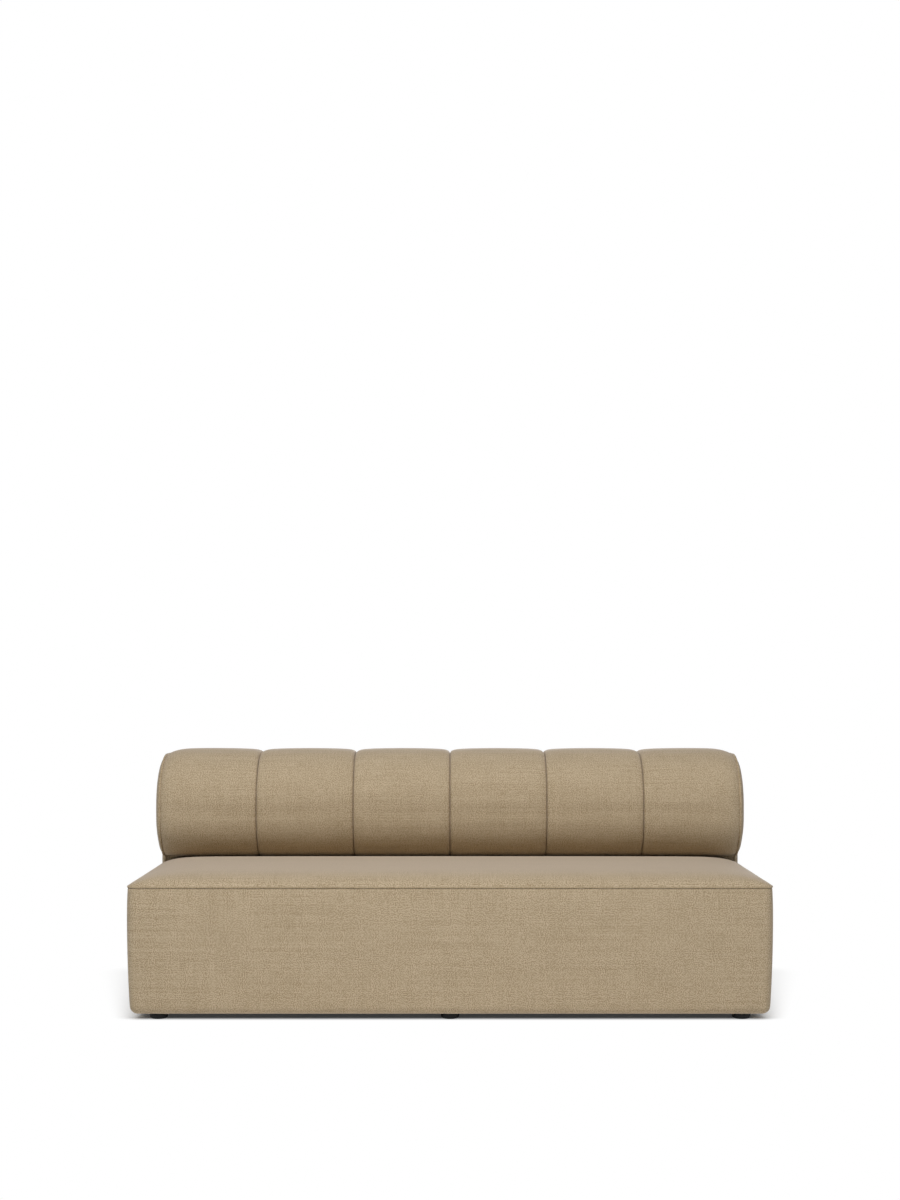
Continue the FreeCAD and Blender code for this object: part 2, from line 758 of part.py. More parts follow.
def glides():
    for name, (x, y) in zip(glide_names, glide_places):
        rings = [sided(radius, glide_sides, Vector(x, y, z), Vector(1, 0, 0), Vector(0, 1, 0))
                 for radius, z in ((glide_bottom_radius, 0), (glide_top_radius, glide_top_height))]
        foot = panelled(rings)
        stem = rod(glide_stem_radius, x, y, glide_top_height, glide_stem_height)
        save(foot.fuse(stem), name)


def nut_plates():
    """Threaded plates on the boards that the glides' stems screw into."""
    bore = glide_stem_radius + thread_clearance
    half = nut_plate_size / 2
    for name, row, top in (("seat_nut_plates", glide_front_y, foot_board_top),
                           ("back_nut_plates", glide_rear_y, base_board_top)):
        plates = [block(x - half, x + half, y - half, y + half, top, top + nut_plate_thickness)
                  for x, y in glide_places if y == row]
        holes = [rod(bore, x, y, 0, glide_stem_height) for x, y in glide_places if y == row]
        save(group([bored(plate, holes) for plate in plates]), name)


def joining_parts():
    head_y = rail_rear_y - rail_thickness
    nut_y = front_board_y + front_board_thickness
    y_axis = Vector(0, 1, 0)
    bolts, nuts, spacers = [], [], []
    for x in bolt_places:
        outline = sided(bolt_head_radius / math.cos(math.pi / bolt_head_sides), bolt_head_sides,
                        Vector(x, head_y - bolt_head_thickness, bolt_height), Vector(1, 0, 0),
                        Vector(0, 0, 1))
        head = Part.Face(outline).extrude(y_axis * bolt_head_thickness)
        shank = Part.makeCylinder(bolt_radius, nut_y + 2 * nut_plate_thickness - head_y,
                                  Vector(x, head_y, bolt_height), y_axis)
        bolts.append(head.fuse(shank))
        half = nut_plate_size / 2
        plate = block(x - half, x + half, nut_y, nut_y + nut_plate_thickness, bolt_height - half,
                      bolt_height + half)
        bore = Part.makeCylinder(bolt_radius + thread_clearance, nut_plate_size,
                                 Vector(x, nut_y - nut_plate_thickness, bolt_height), y_axis)
        nuts.append(plate.cut(bore))
        half = spacer_size / 2
        spacer = block(x - half, x + half, rail_rear_y, front_board_y, bolt_height - half,
                       bolt_height + half)
        spacers.append(bored(spacer, bolt_holes(bolt_radius + hole_clearance, rail_rear_y - cut_overrun,
                                                front_board_y + cut_overrun)))
    save(group(bolts), "joining_bolts")
    save(group(nuts), "joining_nut_plates")
    save(group(spacers), "joining_spacer_blocks")


# Linking hardware

def link_parts():
    plate_top = dust_cover_bottom
    arm_top = link_arm_bottom + link_arm_thickness
    half = link_plate_width / 2
    pivots, pegs = [], []
    for y in link_places:
        y0, y1 = y - link_plate_length / 2, y + link_plate_length / 2
        plate = block(-link_x - half, -link_x + half, y0, y1, link_plate_bottom, plate_top)
        neck = rod(link_pivot_radius, -link_x, y, link_arm_bottom - link_gap, link_plate_bottom)
        head = prism(link_head_radius, link_end_sides, -link_x, y,
                     link_arm_bottom - link_gap - link_head_thickness, link_arm_bottom - link_gap)
        pivots.append(plate.fuse(neck).fuse(head))

        plate = block(link_x - half, link_x + half, y0, y1, link_plate_bottom, plate_top)
        tip = link_plate_bottom - peg_length
        peg = rod(peg_radius, link_x, y, tip + peg_tip_radius, link_plate_bottom)
        rings = [sided(radius, link_end_sides, Vector(link_x, y, z), Vector(1, 0, 0), Vector(0, 1, 0))
                 for radius, z in ((peg_radius - peg_tip_radius, tip), (peg_radius, tip + peg_tip_radius))]
        pegs.append(plate.fuse(peg).fuse(panelled(rings)))
    save(group(pivots), "link_pivot_plates")
    save(group(pegs), "link_peg_plates")

    reach = 2 * link_set_back
    for name, y in zip(("link_arm_front", "link_arm_rear"), link_places):
        half = link_arm_width / 2
        bar = block(-link_x - half, -link_x + half, y, y + reach, link_arm_bottom, arm_top)
        bar = bar.fuse(prism(half, link_end_sides, -link_x, y, link_arm_bottom, arm_top))
        bar = bar.fuse(prism(half, link_end_sides, -link_x, y + reach, link_arm_bottom, arm_top))
        holes = [rod(link_pivot_radius + link_pivot_clearance, -link_x, y, 0, underside_height),
                 rod(link_eye_radius, -link_x, y + reach, 0, underside_height)]
        save(bored(bar, holes).removeSplitter(), name)


os.makedirs("parts", exist_ok=True)
seat_frame()
webbing()
seat_soft_parts()
back_frame()
back_soft_parts()
glides()
nut_plates()
joining_parts()
link_parts()
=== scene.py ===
# %% [markdown]
# # A channelled modular sofa
# This lesson dresses a finished frame with cloth. The frame comes from a CAD model and gives every
# place and size; Blender adds what the eye judges: the crowned seat, the quilted channels of the
# back, the welts, the weave, and the small things underneath.

import json
import math

import bmesh
import bpy
import numpy as np
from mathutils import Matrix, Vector


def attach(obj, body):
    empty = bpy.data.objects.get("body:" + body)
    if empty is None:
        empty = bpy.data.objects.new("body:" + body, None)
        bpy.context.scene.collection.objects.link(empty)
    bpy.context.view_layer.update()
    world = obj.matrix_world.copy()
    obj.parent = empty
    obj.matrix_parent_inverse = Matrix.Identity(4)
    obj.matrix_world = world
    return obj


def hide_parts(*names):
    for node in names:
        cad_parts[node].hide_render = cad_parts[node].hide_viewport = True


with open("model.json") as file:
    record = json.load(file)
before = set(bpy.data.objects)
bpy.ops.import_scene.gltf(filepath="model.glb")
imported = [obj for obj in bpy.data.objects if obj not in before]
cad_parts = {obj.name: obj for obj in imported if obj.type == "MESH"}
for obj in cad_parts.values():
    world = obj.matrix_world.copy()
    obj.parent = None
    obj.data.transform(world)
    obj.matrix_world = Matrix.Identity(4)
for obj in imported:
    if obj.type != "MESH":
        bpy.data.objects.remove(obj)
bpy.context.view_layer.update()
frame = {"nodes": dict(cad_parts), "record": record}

# %% [markdown]
# ## Sizes
# The sofa is drawn from few sizes, all in metres. The seat is a box with a bowed wall; the back is a
# side profile of arcs and lines, and every channel is that profile drawn in towards its seams.

# %% Name the sizes
mm = 0.001
front_y = -430 * mm
rear_y = 430 * mm
top_z = 703 * mm
underside_z = 19.5 * mm
seam_z = 360 * mm
crest_z = 394.5 * mm
seat_rear_y = 149.5 * mm
neck_y = 150 * mm
seat_half_width = 860.25 * mm
back_half_width = 848 * mm
channel_count = 6
channel_pitch = 2 * back_half_width / channel_count
piping_radius = 3.25 * mm
print("channel pitch", round(channel_pitch, 4), "m")

# %% [markdown]
# ## Small helpers
# A screen colour is not a light value, so each colour is written as the screen's hex number and one
# function turns it to linear light. Another adds a node, sets it and links it, which keeps every
# shader and every geometry tree short.

# %% Colour and node helpers
def linear(code):
    """A screen colour such as B0A085 as linear light."""
    values = [int(code[k:k + 2], 16) / 255 for k in (0, 2, 4)]
    light = [v / 12.92 if v <= 0.04045 else ((v + 0.055) / 1.055) ** 2.4 for v in values]
    return (*light, 1)


def add(tree, kind, inputs=None, **settings):
    """Add one node; an input takes a value, an output or, for its first output, a whole node."""
    node = tree.nodes.new(kind)
    for name, value in settings.items():
        setattr(node, name, value)
    for socket, value in (inputs or {}).items():
        if isinstance(value, bpy.types.Node):
            value = value.outputs[0]
        if isinstance(value, bpy.types.NodeSocket):
            tree.links.new(value, node.inputs[socket])
        else:
            node.inputs[socket].default_value = value
    return node


def new_material(name, **surface):
    """An empty material with one surface shader; settings are its sockets, spaces as underscores."""
    material = bpy.data.materials.new(name)
    material.use_nodes = True
    tree = material.node_tree
    tree.nodes.clear()
    shader = add(tree, "ShaderNodeBsdfPrincipled")
    for socket, value in surface.items():
        shader.inputs[socket.replace("_", " ")].default_value = value
    add(tree, "ShaderNodeOutputMaterial", {"Surface": shader})
    return material, tree, shader


def sums(operation, *values):
    """One step of arithmetic, added to the tree that its inputs lie in."""
    tree = next(v.id_data for v in values if isinstance(v, (bpy.types.Node, bpy.types.NodeSocket)))
    return add(tree, "ShaderNodeMath", dict(enumerate(values)), operation=operation).outputs[0]


def blend(tree, share, first, second, colours=False):
    """A mix of two numbers, or of two colours."""
    kind, at, out = ("RGBA", 6, 2) if colours else ("FLOAT", 2, 0)
    inputs = {"Factor": share, at: first, at + 1: second}
    return add(tree, "ShaderNodeMix", inputs, data_type=kind).outputs[out]


def set_relief(tree, shader, height, strength, distance):
    """Let a height stand out of the surface as a bump."""
    bump = add(tree, "ShaderNodeBump", {"Height": height, "Strength": strength, "Distance": distance})
    tree.links.new(bump.outputs[0], shader.inputs["Normal"])


print("tan cloth in linear light", [round(v, 3) for v in linear("B0A085")])

# %% [markdown]
# ## The upholstery cloth
# The cover is a basket weave of melange yarn: thick, matt, tan and beige fibres spun together. Three
# things make it: the relief of the yarns, slubs that run along them both ways, and a painted sheen
# that turns the colour paler edge-on. The crowns of the yarns also get a little painted highlight.
# The pattern reads a UV map in metres, so the weave follows each panel as cut cloth does. The yarns
# are drawn at about twice their real width, because finer ones would vanish in a picture of the
# whole sofa.

# %% Make the woven cloth
basket_cell = 4.0 * mm
slub_width = 2.0 * mm
slub_length = 28 * mm
weave_relief = 0.6 * mm


def woven(name, light, middle, dark, turned):
    """Basket weave of melange wool blend: matt, fibrous, painted highlights on yarn crowns, painted sheen
    edge-on.
    """
    material, tree, shader = new_material(name, Roughness=0.86, IOR=1.5, Sheen_Weight=0.12,
                                          Sheen_Roughness=0.5, Specular_IOR_Level=0.25,
                                          Sheen_Tint=linear("E6E7EA"))
    uv = add(tree, "ShaderNodeUVMap")
    slant = math.radians(45 if turned else 0)
    cloth = add(tree, "ShaderNodeMapping", {"Vector": uv, "Rotation": (0, 0, slant)})

    def streaks(width, length, along_u=True, detail=2.0):
        """Noise about zero, drawn out along the yarns of one direction."""
        scale = (1 / length, 1 / width, 1) if along_u else (1 / width, 1 / length, 1)
        stretched = add(tree, "ShaderNodeMapping", {"Vector": cloth, "Scale": scale})
        numbers = {"Vector": stretched, "Scale": 1.0, "Detail": detail, "Roughness": 0.55}
        return sums("SUBTRACT", add(tree, "ShaderNodeTexNoise", numbers, noise_dimensions="2D"), 0.5)

    scale = (1 / basket_cell, 1 / basket_cell, 0)
    cells = add(tree, "ShaderNodeMapping", {"Vector": cloth, "Scale": scale, "Location": (0, 0, 0.5)})
    u, v = add(tree, "ShaderNodeSeparateXYZ", {0: cells}).outputs[:2]
    over = add(tree, "ShaderNodeTexChecker", {"Vector": cells, "Scale": 1.0}).outputs[1]

    def humps(place, per_cell):
        turn = sums("MULTIPLY", place, per_cell * math.pi)
        return sums("ABSOLUTE", sums("SINE", turn))

    def pair(along, across):
        """Two yarns side by side, arched along their length where they lie on top."""
        arch = sums("MULTIPLY_ADD", humps(along, 1), 0.5, 0.5)
        return sums("MULTIPLY", arch, humps(across, 2))

    height = blend(tree, over, pair(u, v), pair(v, u))
    weft = streaks(slub_width, slub_length)
    warp = streaks(slub_width, slub_length * 1.4, along_u=False)
    row = streaks(slub_width, slub_length * 14, detail=0.0)
    column = streaks(slub_width, slub_length * 9, along_u=False, detail=0.0)
    top_yarn = blend(tree, over, weft, warp)
    fibre = streaks(2.6 * mm, 2.8 * mm, detail=1.0)
    cloud = streaks(70 * mm, 90 * mm)
    tone = 0.47
    # The yarns' height also lightens the colour of their crowns a little: a small painted highlight.
    for part, share in ((weft, 0.2), (warp, 0.11), (top_yarn, 0.12), (fibre, 1.15), (cloud, 0.1),
                        (row, 0.17), (column, 0.09), (height, 0.08)):
        tone = sums("MULTIPLY_ADD", part, share, tone)
    colours = add(tree, "ShaderNodeValToRGB", {0: tone})
    ramp = colours.color_ramp
    ramp.elements[0].position, ramp.elements[0].color = 0.28, linear(dark)
    ramp.elements[1].position, ramp.elements[1].color = 0.70, linear(light)
    ramp.elements.new(0.5).color = linear(middle)
    # Painted sheen: towards grazing views the colour turns pale, standing in for the light that the fibres
    # scatter edge-on.
    painted_sheen_share = sums("POWER", add(tree, "ShaderNodeLayerWeight").outputs["Facing"], 4.0)
    painted_sheen = blend(tree, painted_sheen_share, colours, linear("CBBBA9"), colours=True)
    tree.links.new(painted_sheen, shader.inputs["Base Color"])
    set_relief(tree, shader, sums("MULTIPLY_ADD", fibre, 0.5, height), 0.4, weave_relief)
    return material


basket_weave = woven("basket_weave_wool_blend", "C8B699", "B3A085", "948160", False)
# On the bias the yarns slant round the cord. The welts' colours are set a shade darker: painted shade, for
# the shadow that lies along the seams.
bias_weave = woven("basket_weave_cut_on_the_bias", "C3B194", "AD9A7D", "8B7857", True)
print("basket cell", basket_cell / mm, "mm")

# %% [markdown]
# ## The other finishes
# Every other finish is one noise with two colours: it tints the surface and raises it a little. The
# stretch draws the noise out along the grain of wood or the threads of a strap.

# %% Make the other finishes
def grained(name, colour, other, scale, stretch, bump_height, **surface):
    """A finish whose colour and relief follow one noise, stretched along the grain."""
    material, tree, shader = new_material(name, **surface)
    place = add(tree, "ShaderNodeTexCoord")
    mapped = add(tree, "ShaderNodeMapping", {"Vector": place.outputs["Object"], "Scale": stretch})
    numbers = {"Vector": mapped, "Scale": scale, "Detail": 5, "Roughness": 0.6}
    noise = add(tree, "ShaderNodeTexNoise", numbers)
    mixed = blend(tree, noise, linear(colour), linear(other), colours=True)
    tree.links.new(mixed, shader.inputs["Base Color"])
    set_relief(tree, shader, noise, 0.5, bump_height)
    return material


plain = (1, 1, 1)
# Moulded in a spark-eroded tool: black with a fine dull grain and a soft glint on its edges.
glide_plastic = grained("polypropylene_moulded_black", "0C0C0D", "141414", 900, plain, 0.05 * mm,
                        Roughness=0.55, IOR=1.49, Specular_IOR_Level=0.25)
# Zinc plating: bright grey metal, slightly cloudy; its colour is set darker, painted shade for the shade
# under the frame.
zinc_steel = grained("steel_zinc_plated", "8E9193", "A6A8A7", 60, plain, 0.01 * mm,
                     Roughness=0.42, Metallic=1.0)
# Spun-bonded fibre: dull black, with a pressed grain that shows at arm's length.
spun_cloth = grained("polypropylene_spun_bonded_black", "161616", "262626", 700, plain, 0.15 * mm,
                     Roughness=0.92, Sheen_Weight=0.1)
# Sawn birch plywood is pale with faint streaks, planed pine warmer with wide bands of growth.
birch_plywood = grained("birch_plywood_sawn", "C9A878", "B08A58", 9, (1, 8, 30), 0.1 * mm, Roughness=0.7)
planed_pine = grained("pine_planed", "D8B684", "BC8F5A", 7, (1, 9, 14), 0.1 * mm, Roughness=0.62)
# Pressed hardboard: even dark brown, nearly without grain.
hardboard = grained("hardboard_pressed", "6F4B2C", "5A3A21", 120, plain, 0.1 * mm, Roughness=0.75)
# Cut foam: cream, with the fine pores of its cells. Bonded wadding: white, cloudy and fibrous.
cut_foam = grained("polyurethane_foam_cut", "E6DFC6", "D6CCAD", 500, plain, 0.4 * mm, Roughness=0.95)
fibre_wadding = grained("polyester_fibre_bonded", "F0EFEA", "DCDAD2", 60, (1, 1, 3), 0.6 * mm,
                        Roughness=0.95, Sheen_Weight=0.2)
# Woven elastic webbing: near black and matt, with fine ribs.
elastic_webbing = grained("elastic_webbing_woven", "2A2A2C", "3C3A38", 300, (1, 6, 1), 0.2 * mm,
                          Roughness=0.85)
print(len(bpy.data.materials), "materials")

# %% [markdown]
# ## Give the inner frame its finishes
# Most of the frame is sealed inside. Its pieces keep their CAD shapes and get the finish of what they
# are made of.

# %% Finish the carried-over pieces
finish_of_slot = {
    "upholstery_fabric": basket_weave, "piping_fabric": bias_weave, "foam": cut_foam,
    "wadding": fibre_wadding, "plywood": birch_plywood, "solid_pine": planed_pine,
    "hardboard": hardboard, "webbing": elastic_webbing, "dust_cloth": spun_cloth,
    "glide_plastic": glide_plastic, "zinc_steel": zinc_steel,
}
for part in frame["record"]["subparts"]:
    carried = frame["nodes"][part["node"]]
    carried.data.materials.clear()
    carried.data.materials.append(finish_of_slot[part["material_slot"]])
print(len(frame["nodes"]), "nodes finished")

# %% [markdown]
# ## Panels as grids
# A sewn panel is close to a grid: cloth has two directions. One helper turns rows of points into a
# mesh with square faces, and writes the UV map in metres from distances measured on the panel.

# %% Grid and piece helpers
def grid_piece(name, points, uv, material, wrap=False):
    """A mesh from rows of points; wrap joins the last column to the first."""
    rows, columns = points.shape[:2]
    mesh = bpy.data.meshes.new(name)
    faces, corners = [], []
    for r in range(rows - 1):
        for c in range(columns if wrap else columns - 1):
            n = (c + 1) % columns
            faces.append((r * columns + c, r * columns + n, (r + 1) * columns + n, (r + 1) * columns + c))
            corners += [uv[r, c], uv[r, c + 1], uv[r + 1, c + 1], uv[r + 1, c]]
    mesh.from_pydata(points.reshape(-1, 3).tolist(), [], faces)
    layer = mesh.uv_layers.new(name="UVMap")
    layer.data.foreach_set("uv", np.array(corners, dtype=np.float32).ravel())
    return piece_of(name, mesh, material)


def crossed(across, along):
    """The UV map of a grid, from its distances in the two directions."""
    return np.stack(np.meshgrid(across, along), axis=-1)


def wire(name, paths, closed, material):
    """Bare edges along rows of points, each row open or closed."""
    points, edges = [], []
    for path in paths:
        first, count = len(points), len(path)
        points += [tuple(point) for point in path]
        edges += [(first + k, first + (k + 1) % count) for k in range(count if closed else count - 1)]
    mesh = bpy.data.meshes.new(name)
    mesh.from_pydata(points, edges, [])
    return piece_of(name, mesh, material)


def piece_of(name, mesh, material):
    """Put a mesh in the scene as a smooth piece of one material."""
    mesh.materials.append(material)
    mesh.polygons.foreach_set("use_smooth", [True] * len(mesh.polygons))
    piece = bpy.data.objects.new(name, mesh)
    bpy.context.scene.collection.objects.link(piece)
    return piece


def running_length(points):
    """The distance from the first point along a row of points."""
    steps = np.linalg.norm(np.diff(points, axis=0), axis=1)
    return np.concatenate([[0], np.cumsum(steps)])


def spaced(start, end, step):
    """Evenly spaced numbers that start and end as told, about a step apart."""
    return np.linspace(start, end, max(2, round(abs(end - start) / step) + 1))


def eased(share):
    """A share from 0 to 1 with a gentle start and a gentle end."""
    return share ** 2 * (3 - 2 * share)


def finish_piece(piece, nodes=(), levels=0, body="sofa"):
    """Smooth a piece and tie it to the frame."""
    if levels:
        smooth = piece.modifiers.new("smooth", "SUBSURF")
        smooth.levels = smooth.render_levels = levels
    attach(piece, body)
    if nodes:
        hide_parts(*nodes)


print("helpers ready")

# %% [markdown]
# ## The seat's top panel
# The top is cut a little larger than the foam and pulled down at its edges by the welt, so it rises
# steeply beside the welt and is nearly flat further in. The rise depends on which inset ring of
# the rounded outline a point lies on, so the corners sink as a pillow's do. Towards its left and
# right ends the crown rises more gently than along its front.

# %% Make the top panel
edge_radius = 25 * mm
cloth_step = 12 * mm
panel_gap = 4 * mm
panel_edge_z = seam_z + 4.5 * mm
panel_corner = 24 * mm
corner_growth = 0.5
crown_fade = 33 * mm
side_fade = 19 * mm
tuck_depth = 3.3 * mm
tuck_fade = 1.6 * mm
seat_middle_y = (front_y + seat_rear_y) / 2
seat_half_depth = (seat_rear_y - front_y) / 2


def edge_rows(half):
    """Places across a panel: close together over the corner's radius, then one step apart."""
    outer = panel_corner * (1 - np.cos(np.radians([0, 14, 26, 38, 54, 72, 90])))
    inner = spaced(panel_corner, 2 * half - panel_corner, cloth_step)[1:-1]
    return np.concatenate([outer, inner, 2 * half - outer[::-1]]) - half


def ring_inset(dx, dy):
    """Which inset ring a point lies on, from its distances to two edges."""
    # A ring's corner has the radius panel_corner + corner_growth * inset: a quadratic gives the inset.
    k = 1 + corner_growth
    a = 2 * k * k - corner_growth ** 2
    b = 4 * panel_corner * k - 2 * k * (dx + dy) - 2 * panel_corner * corner_growth
    c = panel_corner ** 2 - 2 * panel_corner * (dx + dy) + dx * dx + dy * dy
    inset = (-b + math.sqrt(max(b * b - 4 * a * c, 0))) / (2 * a)
    return inset if panel_corner + k * inset > max(dx, dy) else min(dx, dy)


def make_top_panel():
    half_x, half_y = seat_half_width - panel_gap, seat_half_depth - panel_gap
    xs, ys = edge_rows(half_x), edge_rows(half_y)
    points = np.zeros((len(ys), len(xs), 3))
    for r, y in enumerate(ys):
        over = max(0.0, abs(y) - (half_y - panel_corner))
        width = half_x - (panel_corner - math.sqrt(max(panel_corner ** 2 - over ** 2, 0)))
        for c, x in enumerate(xs):
            px = x * width / half_x
            beside, before = half_x - abs(px), half_y - abs(y)
            distance = max(ring_inset(beside, before), 0)
            fade = crown_fade + side_fade * eased(before / max(beside + before, 1 * mm))
            height = crest_z - (crest_z - panel_edge_z) * math.exp(-distance / fade)
            height -= tuck_depth * math.exp(-distance / tuck_fade)
            points[r, c] = (px, seat_middle_y + y, height)
    return grid_piece("seat_top_panel", points, points[..., :2], basket_weave), points.shape[1]


top_panel, top_columns = make_top_panel()
print("top panel", len(top_panel.data.polygons), "faces")

# %% [markdown]
# ## The seat's side band
# One band of cloth runs round the seat. Its wall bows out by a few millimetres, turns under the
# frame on a rounded edge and ends in a stapled hem. The rows of the grid follow that section, and
# the columns follow the rounded outline.

# %% Make the side band
wall_widest_z = 283 * mm
wall_draw_bottom = 7 * mm
wall_draw_top = 2 * mm
bottom_radius = 22 * mm
hem_width = 35 * mm
hem_z = underside_z + 0.3 * mm


def wall_draw(z):
    """How far the wall is drawn in at a height."""
    if z > wall_widest_z:
        return wall_draw_top * ((z - wall_widest_z) / (seam_z - wall_widest_z)) ** 2
    low = underside_z + bottom_radius
    return wall_draw_bottom * ((wall_widest_z - z) / (wall_widest_z - low)) ** 2


def outline(inset, radius, z):
    """The seat's rounded outline as points, the same count for any inset."""
    half = np.array((seat_half_width, seat_half_depth))
    arcs, ring = [], []
    for quarter, corner in enumerate(((1, -1), (1, 1), (-1, 1), (-1, -1))):
        turns = np.radians(np.arange(-90, 1, 15) + 90 * quarter)
        centre = (0, seat_middle_y) + (half - inset - radius) * corner
        arcs.append(centre + radius * np.column_stack([np.cos(turns), np.sin(turns)]))
    for quarter, arc in enumerate(arcs):
        count = round(2 * half[1 - quarter % 2] / cloth_step)
        ring += [arc, np.linspace(arc[-1], arcs[(quarter + 1) % 4][0], count + 1)[1:-1]]
    ring = np.vstack(ring)
    return np.column_stack([ring, np.full(len(ring), z)])


def make_side_band():
    low, top = underside_z + bottom_radius, seam_z - 6.0 * mm
    section = [(hem_z, wall_draw_bottom + bottom_radius + d) for d in (hem_width, 24 * mm, 12 * mm)]
    for turn in np.radians(range(0, 91, 15)):
        section.append((low - bottom_radius * math.cos(turn),
                        wall_draw_bottom + bottom_radius * (1 - math.sin(turn))))
    section += [(z, wall_draw(z)) for z in spaced(low, top, cloth_step)[1:]]
    lip = ((0.8, 0.5), (1.2, 1.6), (1.4, 3), (1.5, 6.5))
    section += [(top + rise * mm, wall_draw_top + inwards * mm) for rise, inwards in lip]
    points = np.array([outline(inset, max(edge_radius - 0.8 * inset, 3 * mm), z) for z, inset in section])
    ring = outline(0, edge_radius, 0)
    uv = crossed(running_length(np.vstack([ring, ring[:1]])), running_length(np.array(section)))
    return grid_piece("seat_side_band", points, uv, basket_weave, wrap=True), points.shape[1]


side_band, band_columns = make_side_band()
print("side band", len(side_band.data.polygons), "faces")

# %% [markdown]
# ## The back's side profile
# The back is one long profile: up the neck, round the roll, over the top, down the rear. It is
# described by arcs and lines, and each point also keeps the direction in which the cloth is pulled
# towards the seam. Under the frame that direction stays level, so the hem only slides inwards. The
# roll sags a little where it hangs over the seat.

# %% Trace the profile
roll_front_y = 23 * mm
roll_bottom_z = 386 * mm
lower_radius = 123 * mm
upper_radius = 163 * mm
rear_radius = 185 * mm
crease_radius = 3 * mm
foot_radius = 15 * mm
profile_step = 12 * mm
roll_sag = 2.5 * mm
sag_y, sag_reach, sag_top_z = 112 * mm, 28 * mm, 450 * mm
seam_growth = 110 * mm


def profile():
    """Points (y, z) and pulls (y, z) along the back, from the front hem to the rear hem."""
    points, pulls = [], []

    def arc(cy, cz, radius, first, last, sign, pull=None, step=profile_step):
        count = max(3, round(abs(math.radians(last - first)) * radius / step))
        for a in np.linspace(first, last, count + 1):
            c, s = math.cos(math.radians(a)), math.sin(math.radians(a))
            points.append((cy + radius * c, cz + radius * s))
            pulls.append(pull or (sign * -c, sign * -s))

    def line(y0, z0, y1, z1, pull):
        for share in spaced(0, 1, profile_step / math.dist((y0, z0), (y1, z1)))[1:-1]:
            points.append((y0 + (y1 - y0) * share, z0 + (z1 - z0) * share))
            pulls.append(pull)

    small = 6 * mm
    inwards, backwards = (1, 0), (-1, 0)
    points.append((neck_y + hem_width, hem_z))
    pulls.append(inwards)
    line(neck_y + hem_width, hem_z, neck_y + small, hem_z, inwards)
    arc(neck_y + small, hem_z + small, small, 270, 180, 1, inwards)
    line(neck_y, hem_z + small, neck_y, roll_bottom_z - crease_radius, inwards)
    arc(neck_y - crease_radius, roll_bottom_z - crease_radius, crease_radius, 0, 90, -1, step=1.5 * mm)
    lower = (roll_front_y + lower_radius, roll_bottom_z + lower_radius)
    upper = (roll_front_y + upper_radius, top_z - upper_radius)
    rear = (rear_y - rear_radius, top_z - rear_radius)
    arc(*lower, lower_radius, 270, 180, 1)
    line(roll_front_y, lower[1], roll_front_y, upper[1], inwards)
    arc(*upper, upper_radius, 180, 90, 1)
    line(upper[0], top_z, rear[0], top_z, (0, -1))
    arc(*rear, rear_radius, 90, 0, 1)
    foot_z = underside_z + foot_radius
    line(rear_y, rear[1], rear_y, foot_z, backwards)
    arc(rear_y - foot_radius, foot_z, foot_radius, 0, -90, 1, backwards, step=5 * mm)
    line(rear_y - foot_radius, underside_z, rear_y - foot_radius - hem_width, hem_z, backwards)
    return np.array(points), np.array(pulls)


profile_points, profile_pulls = profile()
crease_at = int(np.argmin(np.hypot(*(profile_points - (neck_y, roll_bottom_z)).T)))
hanging = (np.arange(len(profile_points)) > crease_at) & (profile_points < (neck_y, sag_top_z)).all(axis=1)
profile_points[:, 1] -= hanging * roll_sag * np.exp(-((profile_points[:, 0] - sag_y) / sag_reach) ** 2)
profile_length = running_length(profile_points)
past_crease = np.clip((profile_length - profile_length[crease_at]) / seam_growth, 0, 1)
seam_share = 0.25 + 0.75 * eased(past_crease)


def drawn_in(inset):
    """The profile, pulled towards the seam by an inset."""
    return profile_points + profile_pulls * (inset * seam_share)[:, None]


def seam_path(x, inset, rows):
    """A line along some rows of the profile, at one place across the back."""
    drawn = drawn_in(inset)[rows]
    return np.column_stack([np.full(len(drawn), x), drawn])


print(len(profile_points), "points,", round(profile_length[-1], 3), "m of cloth round the back")

# %% [markdown]
# ## Channels by a rule
# Each channel is the same profile, drawn in more the nearer it lies to a seam. That is a rule, so
# geometry nodes make it: the grid carries its distances from both seams and its pull direction, and
# the tree moves every point by a sum of fading terms. The sharp term is the fold at the stitches,
# the soft term is the rounding of the padding.

# %% Build the channel rule
def tree_inputs(name, numbers):
    """A geometry tree with a geometry input, named numbers and a geometry output."""
    tree = bpy.data.node_groups.new(name, "GeometryNodeTree")
    face = tree.interface
    face.new_socket("Geometry", in_out="INPUT", socket_type="NodeSocketGeometry")
    face.new_socket("Material", in_out="INPUT", socket_type="NodeSocketMaterial")
    for label, value in numbers.items():
        face.new_socket(label, in_out="INPUT", socket_type="NodeSocketFloat").default_value = value
    face.new_socket("Geometry", in_out="OUTPUT", socket_type="NodeSocketGeometry")
    return tree, add(tree, "NodeGroupInput")


def finish_tree(tree, start, geometry):
    """End a tree with real geometry of one material."""
    real = add(tree, "GeometryNodeRealizeInstances", {0: geometry})
    inputs = {"Geometry": real, "Material": start.outputs["Material"]}
    add(tree, "NodeGroupOutput", {0: add(tree, "GeometryNodeSetMaterial", inputs)})


def run_tree(piece, tree, numbers=None):
    """Set a tree's inputs, evaluate it once and keep the result as a plain mesh."""
    modifier = piece.modifiers.new("rule", "NODES")
    modifier.node_group = tree
    wanted = {"Material": piece.data.materials[0], **(numbers or {})}
    for item in tree.interface.items_tree:
        if item.in_out == "INPUT" and item.name in wanted:
            modifier[item.identifier] = wanted[item.name]
    graph = bpy.context.evaluated_depsgraph_get()
    mesh = bpy.data.meshes.new_from_object(piece.evaluated_get(graph))
    piece.modifiers.clear()
    piece.data = mesh
    mesh.polygons.foreach_set("use_smooth", [True] * len(mesh.polygons))
    return piece


